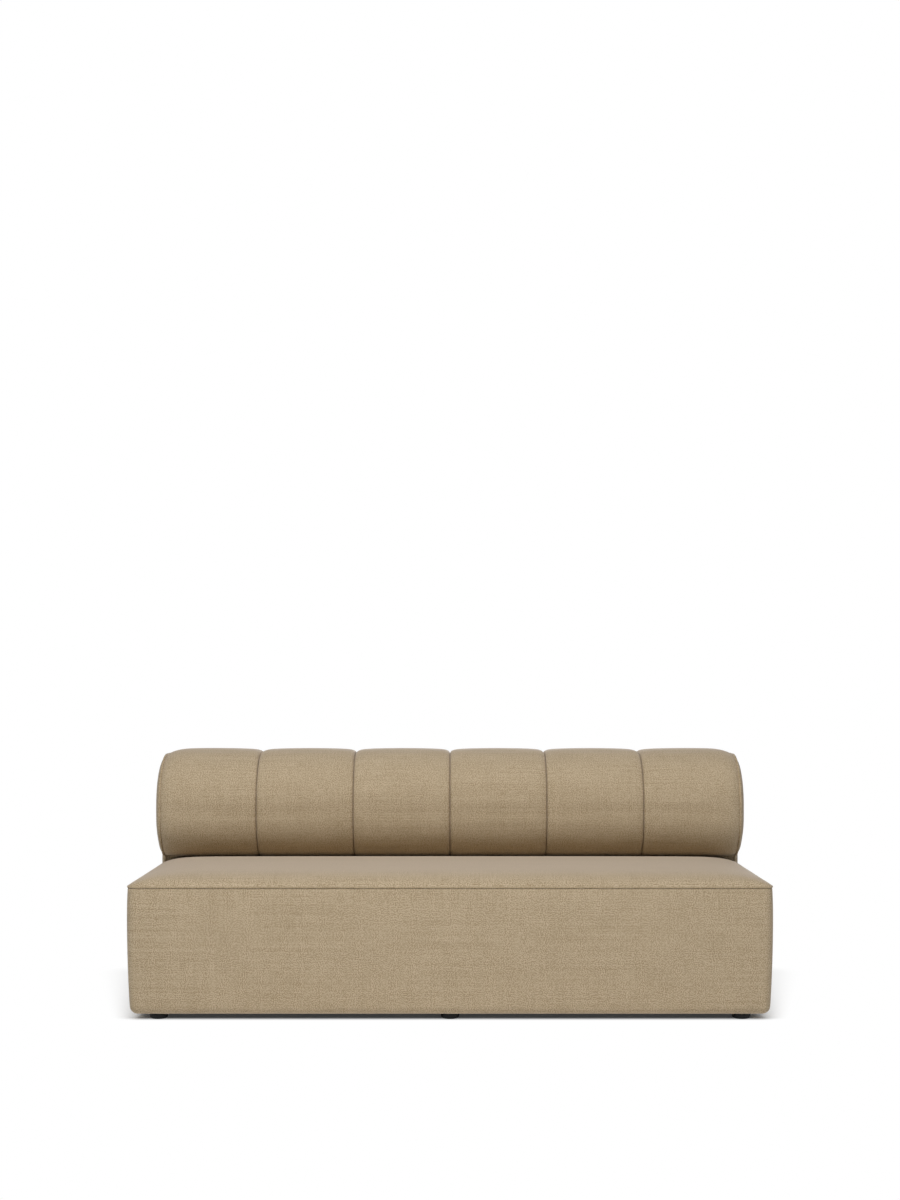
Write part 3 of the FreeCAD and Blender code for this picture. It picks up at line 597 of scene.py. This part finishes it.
def channel_rule():
    tree, start = tree_inputs("channel_rule", {
        "Left Sharp Depth": 0.007, "Left Soft Depth": 0.0058, "Right Sharp Depth": 0.007,
        "Right Soft Depth": 0.0058, "Sharp Fade": 0.008, "Soft Fade": 0.045, "End Depth Left": 0.0,
        "End Depth Right": 0.0, "End Fade": 0.022, "Fold Depth": 0.006, "Fold Fade": 0.0011,
        "Pucker Height": 0.0005, "Pucker Fade": 0.014})

    def carried(name, kind="FLOAT"):
        return add(tree, "GeometryNodeInputNamedAttribute", {"Name": name}, data_type=kind)

    def fading(distance, depth, fade):
        power = sums("DIVIDE", distance, sums("MULTIPLY", start.outputs[fade], -1.0))
        return sums("MULTIPLY", sums("EXPONENT", power), start.outputs[depth])

    total = 0.0
    for side in ("Left", "Right"):
        distance = carried(side.lower())
        for depth, fade in ((side + " Sharp Depth", "Sharp Fade"), (side + " Soft Depth", "Soft Fade"),
                            ("End Depth " + side, "End Fade"), ("Fold Depth", "Fold Fade")):
            total = sums("ADD", fading(distance, depth, fade), total)
        numbers = {"W": carried("along"), "Scale": 55.0, "Detail": 1.0}
        ripple = add(tree, "ShaderNodeTexNoise", numbers, noise_dimensions="1D")
        pucker = fading(distance, "Pucker Height", "Pucker Fade")
        total = sums("MULTIPLY_ADD", pucker, sums("SUBTRACT", ripple, 0.5), total)
    pull = carried("pull", "FLOAT_VECTOR")
    shift = add(tree, "ShaderNodeVectorMath", {0: pull, "Scale": total}, operation="SCALE")
    moved = add(tree, "GeometryNodeSetPosition", {"Geometry": start, "Offset": shift})
    finish_tree(tree, start, moved)
    return tree


channel_tree = channel_rule()
print("channel rule has", len(channel_tree.nodes), "nodes")

# %% Make the six channels
half_columns = [0.15, 0.6, 1.2, 2.0, 3.2, 5.0, 7.5, 11, 16, 23, 32, 44, 58, 74, 92, 110, 126]
end_depth = 20 * mm


def make_channel(number):
    left = -back_half_width + number * channel_pitch
    right = left + channel_pitch
    near = np.array(half_columns) * mm
    xs = np.concatenate([left + near, [(left + right) / 2], right - near[::-1]])
    uv = crossed(xs, profile_length)
    points = np.zeros((*uv.shape[:2], 3))
    points[..., 0] = xs
    points[..., 1:] = profile_points[:, None]
    piece = grid_piece("back_channel_cover_%d" % (number + 1), points, uv, basket_weave)
    mesh = piece.data
    mesh.flip_normals()
    for name, values in (("left", uv[..., 0] - left), ("right", right - uv[..., 0]),
                         ("along", uv[..., 1] + number)):
        mesh.attributes.new(name, "FLOAT", "POINT").data.foreach_set("value", values.ravel())
    pull = np.zeros_like(points)
    pull[..., 1:] = (profile_pulls * seam_share[:, None])[:, None]
    mesh.attributes.new("pull", "FLOAT_VECTOR", "POINT").data.foreach_set("vector", pull.ravel())
    numbers = {}
    for place, side in ((0, "Left"), (channel_count - 1, "Right")):
        if number == place:
            numbers = {side + " Sharp Depth": 0.0, side + " Soft Depth": 0.0}
            numbers["End Depth " + side] = end_depth
    return run_tree(piece, channel_tree, numbers)


channels = [make_channel(number) for number in range(channel_count)]
print(len(channels), "channels of", len(channels[0].data.polygons), "faces")

# %% [markdown]
# ## The padded end panels
# Each end of the back is closed by a panel padded into a low dome. The panel is a patch with four
# sides: the neck and nose, the top, the rear, and the straight foot. Points blend between the sides,
# and each rises by a fading curve of its distance from the back's profile. Below the roll the seam
# comes forward almost to the neck's front, so the curve starts nearer to the edge there.

# %% Blend the four sides
dome_rise = 15.2 * mm
dome_start = 18.9 * mm
dome_fade = 12 * mm
panel_inset = 21.5 * mm
panel_width = 240 * mm
panel_height = 600 * mm
# Halfway round an arc, this share of its radius lies between the arc and each side of its square.
diagonal = 0.29


def resampled(points, shares):
    """Places along a row of points at shares of its length."""
    length = running_length(points)
    at = np.asarray(shares) * length[-1]
    return np.column_stack([np.interp(at, length, points[:, k]) for k in (0, 1)])


def side_patch():
    """Places (y, z) over the end panel, in rows from its foot to its top."""
    keep = profile_points[:, 1] > underside_z + 0.2 * mm
    keep[:4] = keep[-4:] = False
    edge = drawn_in(panel_inset)[keep]
    edge[0, 1] = edge[-1, 1] = underside_z
    upper = (roll_front_y + upper_radius * diagonal, top_z - upper_radius * diagonal)
    rear = (rear_y - rear_radius * diagonal, top_z - rear_radius * diagonal)
    first, second = [int(np.argmin(np.hypot(*(edge - corner).T))) for corner in (upper, rear)]
    near = np.array([0, 1.2, 2.6, 4.5, 7, 10.5, 15, 21, 29, 39, 52]) * mm
    across = near / panel_width
    us = np.concatenate([across, spaced(across[-1], 1 - across[-1], 0.07)[1:-1], 1 - across[::-1]])
    tall = near / panel_height
    vs = np.concatenate([[0, 0.003, 0.008, 0.015], spaced(0.026, 1 - tall[-1], 0.016), 1 - tall[-2::-1]])
    left, right = resampled(edge[:first + 1], vs), resampled(edge[second:][::-1], vs)
    foot = resampled(edge[[0, -1]], us)
    top = resampled(edge[first:second + 1], us)
    u, v = us[None, :, None], vs[:, None, None]
    sides = (1 - u) * left[:, None] + u * right[:, None] + (1 - v) * foot + v * top
    return sides - (1 - v) * ((1 - u) * foot[0] + u * foot[-1]) - v * ((1 - u) * top[0] + u * top[-1])


def beyond_seam(places):
    """How far each place lies inside the seam that runs along the back's profile."""
    start, end = profile_points[:-1], profile_points[1:]
    way = end - start
    offset = places[..., None, :] - start
    share = np.clip((offset * way).sum(-1) / (way * way).sum(-1), 0, 1)
    away = np.linalg.norm(offset - share[..., None] * way, axis=-1)
    inset = seam_share[:-1] + share * np.diff(seam_share)
    return (away - inset * dome_start)[..., 4:-4].min(-1)


patch = side_patch()
print("end patch", patch.shape[:2])


# %% Raise the end panels
def make_end_panel(side, name):
    x = back_half_width + dome_rise * (1 - np.exp(-beyond_seam(patch) / dome_fade))
    tucked = back_half_width - 2 * mm
    x[:, 0] = x[:, -1] = x[-1] = tucked
    foot = 1 - np.exp(-(patch[..., 1] - underside_z) / (4 * mm))
    x = tucked + (x - tucked) * foot
    points = np.concatenate([side * x[..., None], patch], axis=-1)
    hem = points[:1].copy()
    hem[..., 0] = side * (back_half_width - 12 * mm)
    points = np.concatenate([hem, points])
    uv = np.concatenate([patch[:1] - (0, 10 * mm), patch])
    piece = grid_piece(name, points, uv, basket_weave)
    if side < 0:
        piece.data.flip_normals()
    return piece


end_panels = [make_end_panel(-1, "back_end_cover_left"), make_end_panel(1, "back_end_cover_right")]
print("end panels", [len(p.data.polygons) for p in end_panels], "faces")

# %% [markdown]
# ## Welts that follow a path
# A welt is a cord wrapped in cloth cut on the bias and sewn into the seam. Geometry nodes sweep a
# round section along the seam's path and store the distances along and around the cord as its UV
# map, so the slanting weave stays the same size everywhere.

# %% Build the welt tree
def welt_tree():
    tree, start = tree_inputs("welt_along_a_path", {"Radius": piping_radius})
    path = add(tree, "GeometryNodeMeshToCurve", {0: start})
    inputs = {"Resolution": 14, "Radius": start.outputs["Radius"]}
    section = add(tree, "GeometryNodeCurvePrimitiveCircle", inputs)
    lengths = []
    for curve in (path, section):
        place = add(tree, "GeometryNodeSplineParameter")
        held = add(tree, "GeometryNodeCaptureAttribute", {0: curve})
        held.capture_items.new("FLOAT", "length")
        tree.links.new(place.outputs["Length"], held.inputs[1])
        lengths.append(held)
    inputs = {"Curve": lengths[0], "Profile Curve": lengths[1], "Fill Caps": True}
    swept = add(tree, "GeometryNodeCurveToMesh", inputs)
    flat = add(tree, "ShaderNodeCombineXYZ", {0: lengths[1].outputs[1], 1: lengths[0].outputs[1]})
    inputs = {"Geometry": swept, "Name": "UVMap", "Value": flat}
    stored = add(tree, "GeometryNodeStoreNamedAttribute", inputs, data_type="FLOAT2", domain="CORNER")
    finish_tree(tree, start, stored)
    return tree


piping_tree = welt_tree()


def make_welt(name, path, closed):
    return run_tree(wire(name, [path], closed, bias_weave), piping_tree)


welt_line = outline(piping_radius, edge_radius - 1.25 * mm, seam_z - 1.0 * mm)
seat_welt = make_welt("seat_welt", welt_line, True)
end_lines = [seam_path(side * back_half_width, 18 * mm, slice(5, -5)) for side in (-1, 1)]
end_welts = [make_welt("back_welt_left", end_lines[0], False),
             make_welt("back_welt_right", end_lines[1], False)]
print("welts", [len(w.data.polygons) for w in [seat_welt] + end_welts], "faces")

# %% [markdown]
# ## Let the covers settle
# The covers are sewn a little tight over foam and fibre, which push back. A short cloth simulation
# with pressure and no gravity gives that: the sewn edges are held fast, the rest only lightly, and
# the swelling is softly capped so that the sofa keeps its size.

# %% Settle the covers
def coordinates(mesh):
    flat = np.empty(len(mesh.vertices) * 3, dtype=np.float32)
    mesh.vertices.foreach_get("co", flat)
    return flat.reshape(-1, 3).astype(float)


def settle(piece, sewn, swell, pressure=3.0, steps=14):
    """Simulate a cover; sewn marks the held points, swell is the most that a point may move."""
    start = coordinates(piece.data)
    sewn = sewn.ravel()
    group = piece.vertex_groups.new(name="held")
    group.add(np.nonzero(sewn)[0].tolist(), 1.0, "REPLACE")
    group.add(np.nonzero(~sewn)[0].tolist(), 0.25, "REPLACE")
    cloth = piece.modifiers.new("cloth", "CLOTH")
    rules = cloth.settings
    rules.vertex_group_mass = "held"
    rules.quality = 4
    rules.mass = 0.25
    rules.tension_stiffness = rules.compression_stiffness = 25
    rules.shear_stiffness = 10
    rules.bending_stiffness = 1.5
    rules.use_pressure = True
    rules.uniform_pressure_force = pressure
    rules.effector_weights.gravity = 0
    cloth.collision_settings.use_collision = False
    for step in range(1, steps + 1):
        bpy.context.scene.frame_set(step)
    graph = bpy.context.evaluated_depsgraph_get()
    moved = coordinates(piece.evaluated_get(graph).data) - start
    length = np.maximum(np.linalg.norm(moved, axis=1, keepdims=True), 1e-9)
    moved *= swell * np.tanh(length / swell) / length
    piece.modifiers.remove(cloth)
    piece.vertex_groups.remove(group)
    piece.data.vertices.foreach_set("co", (start + moved).astype(np.float32).ravel())
    piece.data.update()
    bpy.context.scene.frame_set(1)
    return float(np.linalg.norm(moved, axis=1).max())


def rim(piece, columns, low=1, high=1, sides=1):
    """Marks the edge rows and columns of a piece made as a grid."""
    rows = len(piece.data.vertices) // columns
    marks = np.zeros((rows, columns), dtype=bool)
    marks[:low] = marks[rows - high:] = True
    marks[:, :sides] = marks[:, columns - sides:] = True
    return marks


channel_columns, end_columns = 2 * len(half_columns) + 1, patch.shape[1]
moves = [settle(top_panel, rim(top_panel, top_columns), 2.0 * mm),
         settle(side_band, rim(side_band, band_columns, 5, 6, 0), 1.2 * mm)]
moves += [settle(channel, rim(channel, channel_columns, 8, 6, 5), 1.6 * mm) for channel in channels]
moves += [settle(panel, rim(panel, end_columns, 3, 2, 2), 1.2 * mm) for panel in end_panels]
print("most that the covers moved, mm:", [round(move / mm, 2) for move in moves])

# %% [markdown]
# ## Tie the cloth to the frame
# Each cover rides on the sofa's body and replaces the plain solid of its place. The top panel stands
# for the wadding too, which would show through its gentler ends.

# %% Tie the covers
finish_piece(top_panel, ["seat_top_cover", "seat_wadding"], 1)
finish_piece(side_band, ["seat_side_cover"], 1)
finish_piece(seat_welt, ["seat_piping"])
for number, channel in enumerate(channels, start=1):
    finish_piece(channel, ["back_channel_%d" % number], 1)
for panel, welt, label in zip(end_panels, end_welts, ("left", "right")):
    finish_piece(panel, ["back_end_panel_" + label], 1)
    finish_piece(welt, ["back_piping_" + label])
print("covers tied")

# %% [markdown]
# ## Bars that follow a path
# Threads in a seam and staples along a hem are the same thing to the eye: short bars at an even
# spacing, each lying along its line. One geometry tree places them.

# %% Build the bar tree
def bar_tree():
    numbers = {"Spacing": 0.0065, "Bar Length": 0.0042, "Bar Radius": 0.0004}
    tree, start = tree_inputs("bars_along_a_path", numbers)
    path = add(tree, "GeometryNodeMeshToCurve", {0: start})
    inputs = {"Curve": path, "Length": start.outputs["Spacing"]}
    places = add(tree, "GeometryNodeCurveToPoints", inputs, mode="LENGTH")
    half = sums("MULTIPLY", start.outputs["Bar Length"], 0.5)
    left = add(tree, "ShaderNodeCombineXYZ", {0: sums("MULTIPLY", half, -1.0)})
    right = add(tree, "ShaderNodeCombineXYZ", {0: half})
    line = add(tree, "GeometryNodeCurvePrimitiveLine", {"Start": left, "End": right})
    inputs = {"Resolution": 5, "Radius": start.outputs["Bar Radius"]}
    section = add(tree, "GeometryNodeCurvePrimitiveCircle", inputs)
    bar = add(tree, "GeometryNodeCurveToMesh", {"Curve": line, "Profile Curve": section, "Fill Caps": True})
    turn = add(tree, "FunctionNodeAlignRotationToVector", {"Vector": places.outputs["Tangent"]}, axis="X")
    inputs = {"Points": places, "Instance": bar, "Rotation": turn}
    bars = add(tree, "GeometryNodeInstanceOnPoints", inputs)
    finish_tree(tree, start, bars)
    return tree


bars = bar_tree()


def make_bars(name, paths, closed, material, sizes=None):
    """Bars along open or closed paths, as one piece on the sofa."""
    piece = run_tree(wire(name, paths, closed, material), bars, sizes)
    finish_piece(piece)
    return piece


# %% Sew the valleys
# The thread is bonded polyester in the cloth's own colour; it shows only where a fold is opened.
sewing_thread = grained("polyester_thread_bonded", "9C8A66", "867452", 2500, plain, 0.05 * mm,
                        Roughness=0.55, Sheen_Weight=0.15)
seams = [seam_path(k * channel_pitch - back_half_width, 15.5 * mm, slice(8, -6))
         for k in range(1, channel_count)]
valley_threads = make_bars("valley_seam_threads", seams, False, sewing_thread)
print("valley threads", len(valley_threads.data.polygons), "faces")

# %% [markdown]
# ## The underside
# Two sheets of black spun-bonded cloth close the frame from below. Each is stretched, folded in at
# its edge and stapled to the frame every few centimetres, and it sags a little between the edges.

# %% Stretch the dust covers
cover_z = underside_z - 0.65 * mm
glide_x = 783.5 * mm
glide_columns = (-glide_x, 0, glide_x)
glide_rows = {"front": -355 * mm, "rear": 355 * mm}
stem_room = 7 * mm
stem_reach = 60 * mm
staple_inset = 7 * mm


def make_dust_cover(name, half_x, y0, y1, glide_y, sag):
    """A hanging sheet with a hole for each stem; gives back the line of its staples."""
    def lines(first, last, stems, step):
        marks = sorted([first, last] + [s + way * stem_room for s in stems for way in (-1, 1)])
        parts = [spaced(a, b, step)[:-1] for a, b in zip(marks, marks[1:])]
        return np.concatenate(parts + [[last]])

    gx, gy = np.meshgrid(lines(-half_x, half_x, glide_columns, 30 * mm), lines(y0, y1, (glide_y,), 20 * mm))
    fall = np.clip((half_x - np.abs(gx)) / (150 * mm), 0, 1)
    fall *= np.clip(np.minimum(gy - y0, y1 - gy) / (80 * mm), 0, 1)
    ripple = 1 + 0.25 * np.sin(gx * 41 + 1.3 * np.sin(gy * 23)) * np.cos(gy * 17)
    drop = sag * fall ** 1.5 * ripple
    for stem in glide_columns:
        away = np.hypot(gx - stem, gy - glide_y) / stem_reach
        drop *= np.where(away < 1, np.clip(away - 0.5, 0, 1), 1)
    points = np.stack([gx, gy, cover_z - drop], axis=-1)
    piece = grid_piece(name, points, points[..., :2], spun_cloth)
    piece.data.flip_normals()
    work = bmesh.new()
    work.from_mesh(piece.data)
    middles = [(face, face.calc_center_median()) for face in work.faces]
    holes = [face for face, middle in middles if abs(middle.y - glide_y) < stem_room
             and min(abs(middle.x - stem) for stem in glide_columns) < stem_room]
    bmesh.ops.delete(work, geom=holes, context="FACES")
    work.to_mesh(piece.data)
    work.free()
    finish_piece(piece, [name.replace("_cloth", "_cover")])
    x, near, far = half_x - staple_inset, y0 + staple_inset, y1 - staple_inset
    return [(*corner, cover_z - 0.5 * mm) for corner in ((-x, near), (x, near), (x, far), (-x, far))]


seat_margin = 43 * mm
hems = [make_dust_cover("seat_dust_cloth", seat_half_width - seat_margin, front_y + seat_margin,
                        seat_rear_y - seat_margin, glide_rows["front"], 2.5 * mm),
        make_dust_cover("back_dust_cloth", back_half_width - 14 * mm, neck_y + 20 * mm,
                        rear_y - 29 * mm, glide_rows["rear"], 1.5 * mm)]
staple_sizes = {"Spacing": 45 * mm, "Bar Length": 10 * mm, "Bar Radius": 0.5 * mm}
staples = make_bars("dust_cover_staples", hems, True, zinc_steel, staple_sizes)
print("staples", len(staples.data.polygons), "faces")

# %% [markdown]
# ## Turned pieces
# Glides and screws are round, so each is a half section turned about its axis. A section with close
# points at its edges keeps them crisp under smooth shading.

# %% Turn glides and screws
def turned(name, section, x, y, material, sides=32, facets=None):
    """A closed solid of revolution; facets names the rows that are hexagons."""
    angles = np.arange(sides) * 2 * math.pi / sides
    points = np.zeros((len(section), sides, 3))
    for row, (radius, z) in enumerate(section):
        reach = np.full(sides, radius)
        if facets and row in facets:
            reach = radius * math.cos(math.pi / 6) / np.cos((angles % (math.pi / 3)) - math.pi / 6)
        points[row, :, 0] = x + reach * np.cos(angles)
        points[row, :, 1] = y + reach * np.sin(angles)
        points[row, :, 2] = z
    uv = crossed(np.linspace(0, 0.15, sides + 1), running_length(np.array(section)))
    piece = grid_piece(name, points, uv, material, wrap=True)
    work = bmesh.new()
    work.from_mesh(piece.data)
    bmesh.ops.remove_doubles(work, verts=work.verts, dist=1e-6)
    bmesh.ops.recalc_face_normals(work, faces=work.faces)
    work.to_mesh(piece.data)
    work.free()
    return piece


# Rows of radius and height in millimetres: the foot, its rounded shoulder and collar, then the thread.
foot_rows = [(0, 0), (12, 0), (18.6, 0), (19.6, 0.1), (20.6, 0.4), (21.8, 1.1), (22.9, 2.1), (23.8, 3.4),
             (24.4, 5.0), (24.7, 6.8), (24.85, 9.5), (24.9, 13), (24.85, 15.4), (24.6, 16.6),
             (24.0, 17.4), (22.8, 17.93), (12, 17.95),
             (7.0, 17.95), (6.6, 18.0), (6.5, 18.4), (6.4, 19.4), (5.2, 19.8)]
thread_rows = [(3.4 if k % 2 else 4.0, 20.2 + 0.625 * k) for k in range(71)]
tip_rows = [(3.2, 65.0), (2.6, 65.5), (0, 65.5)]
glide_section = [(r * mm, z * mm) for r, z in foot_rows + thread_rows + tip_rows]
for row, y in glide_rows.items():
    for label, x in zip(("left", "centre", "right"), glide_columns):
        node = "glide_%s_%s" % (row, label)
        foot = turned("levelling_" + node, glide_section, x, y, glide_plastic)
        finish_piece(foot, [node], body=node)
print("glide section of", len(glide_section), "rows")

# %% Set the screws of the link plates
plate_z = underside_z - 3.65 * mm
plate_x, plate_ys = 828.25 * mm, (-270 * mm, 60 * mm)
head_rows = [(0, 1.4), (1.5, 1.3), (1.6, 0.1), (1.9, -0.15), (3.2, -0.3), (3.9, -0.25), (4.3, 0),
             (4.3, 0.6), (0, 0.6)]
socket_rows = (1, 2)
head_section = [(r * mm, plate_z + z * mm) for r, z in head_rows]
screw_places = [(plate_x, y + shift * mm) for y in plate_ys for shift in (-32, 32)]
screw_places += [(side * mm - plate_x, y - 34 * mm) for y in plate_ys for side in (-9, 9)]
for number, (x, y) in enumerate(screw_places, start=1):
    screw = turned("link_plate_screw_%d" % number, head_section, x, y, zinc_steel, 24, socket_rows)
    finish_piece(screw)
print(len(screw_places), "screws")

# %% [markdown]
# ## Floor, light and camera
# The floor is a plain pale sheet. A wide soft box above the front gives most of the light, a weaker
# one stands behind, and a faint dome fills the shade. The camera sees the floor's own shading only
# near the sofa, where the contact shadow lies, lifted a little by painted light; further out the floor
# fades to the plain white of the backdrop. The camera stands level in front, and a shift of the lens
# keeps uprights upright.

# %% Floor
floor_reach = 14
# Even beside the sofa, this share of plain white stays over the floor's shading: painted light that lifts
# the contact shadow.
painted_shadow_lift = 0.035
shadow_half_width = 0.82
shadow_front_y, shadow_front_fade = -0.352, 0.045
shadow_rear_y, shadow_rear_fade = 0.36, 0.2
shadow_side_fade, side_fade_growth = 0.183, 0.25


def seen_directly(tree):
    """One for what the camera sees itself, in a mirror or through glass."""
    rays = add(tree, "ShaderNodeLightPath").outputs
    return sums("MAXIMUM", rays["Is Camera Ray"],
                sums("MAXIMUM", rays["Is Glossy Ray"], rays["Is Transmission Ray"]))


def make_floor():
    """Matt white near the sofa, plain white further out for the camera only."""
    mesh = bpy.data.meshes.new("floor")
    corners = [(x * floor_reach, y * floor_reach, 0) for x, y in ((-1, -1), (1, -1), (1, 1), (-1, 1))]
    mesh.from_pydata(corners, [], [(0, 1, 2, 3)])
    material, tree, shader = new_material("floor_matt_white", Roughness=0.95, Specular_IOR_Level=0.05,
                                          Base_Color=linear("FDFDFD"))
    place = add(tree, "ShaderNodeTexCoord")
    x, y = add(tree, "ShaderNodeSeparateXYZ", {0: place.outputs["Object"]}).outputs[:2]
    aside = sums("SUBTRACT", sums("ABSOLUTE", x), shadow_half_width)
    side_reach = sums("MULTIPLY_ADD", y, side_fade_growth, shadow_side_fade)
    before = sums("SUBTRACT", shadow_front_y, y)
    behind = sums("SUBTRACT", y, shadow_rear_y)
    total = 0.0
    for way, reach in ((aside, side_reach), (before, shadow_front_fade), (behind, shadow_rear_fade)):
        outside = sums("MAXIMUM", sums("DIVIDE", way, reach), 0.0)
        total = sums("MULTIPLY_ADD", outside, outside, total)
    fade = add(tree, "ShaderNodeMapRange", {0: sums("SQRT", total), 3: painted_shadow_lift, 4: 1.0},
               interpolation_type="SMOOTHSTEP")
    white = add(tree, "ShaderNodeEmission", {"Color": (1, 1, 1, 1), "Strength": 1.0})
    share = sums("MULTIPLY", fade, seen_directly(tree))
    both = add(tree, "ShaderNodeMixShader", {0: share, 1: shader, 2: white})
    end = next(n for n in tree.nodes if n.type == "OUTPUT_MATERIAL")
    tree.links.new(both.outputs[0], end.inputs["Surface"])
    floor = piece_of("floor", mesh, material)


make_floor()

# %% Light
def soft_light(name, place, aim, width, height, watts):
    lamp = bpy.data.lights.new(name, "AREA")
    lamp.shape = "RECTANGLE"
    lamp.size, lamp.size_y, lamp.energy = width, height, watts
    holder = bpy.data.objects.new(name, lamp)
    holder.location = place
    holder.rotation_euler = (Vector(aim) - Vector(place)).to_track_quat("-Z", "Y").to_euler()
    holder.visible_camera = False
    bpy.context.scene.collection.objects.link(holder)


dome_low, dome_high = 0.05, 0.15
world = bpy.data.worlds.new("studio")
bpy.context.scene.world = world
world.use_nodes = True
tree = world.node_tree
tree.nodes.clear()
way = add(tree, "ShaderNodeTexCoord")
up = add(tree, "ShaderNodeSeparateXYZ", {0: way.outputs["Generated"]})
dome = add(tree, "ShaderNodeMapRange", {0: up.outputs[2], 3: dome_low, 4: dome_high})
level = blend(tree, seen_directly(tree), dome, 1.0)
sky = add(tree, "ShaderNodeBackground", {"Color": (1, 1, 1, 1), "Strength": level})
add(tree, "ShaderNodeOutputWorld", {"Surface": sky})
soft_light("soft_box_front", (-0.25, -2.86, 3.74), (0, -0.05, 0.35), width=4.5, height=1.5, watts=172)
soft_light("soft_box_rear", (0.8, 4.2, 1.2), (0, 0.3, 0.4), width=3.2, height=1.2, watts=55)

# %% Camera
camera = bpy.data.cameras.new("camera")
camera.lens, camera.sensor_width = 53.0, 36
camera.shift_y = 0.0657
eye = bpy.data.objects.new("camera", camera)
eye.location = (0, -5.110, 0.912)
eye.rotation_euler = (math.radians(90), 0, 0)
bpy.context.scene.collection.objects.link(eye)
bpy.context.scene.camera = eye
bpy.context.scene.view_settings.view_transform = "Standard"

# %% [markdown]
# ## Finish

# %% Finish
bpy.context.view_layer.update()
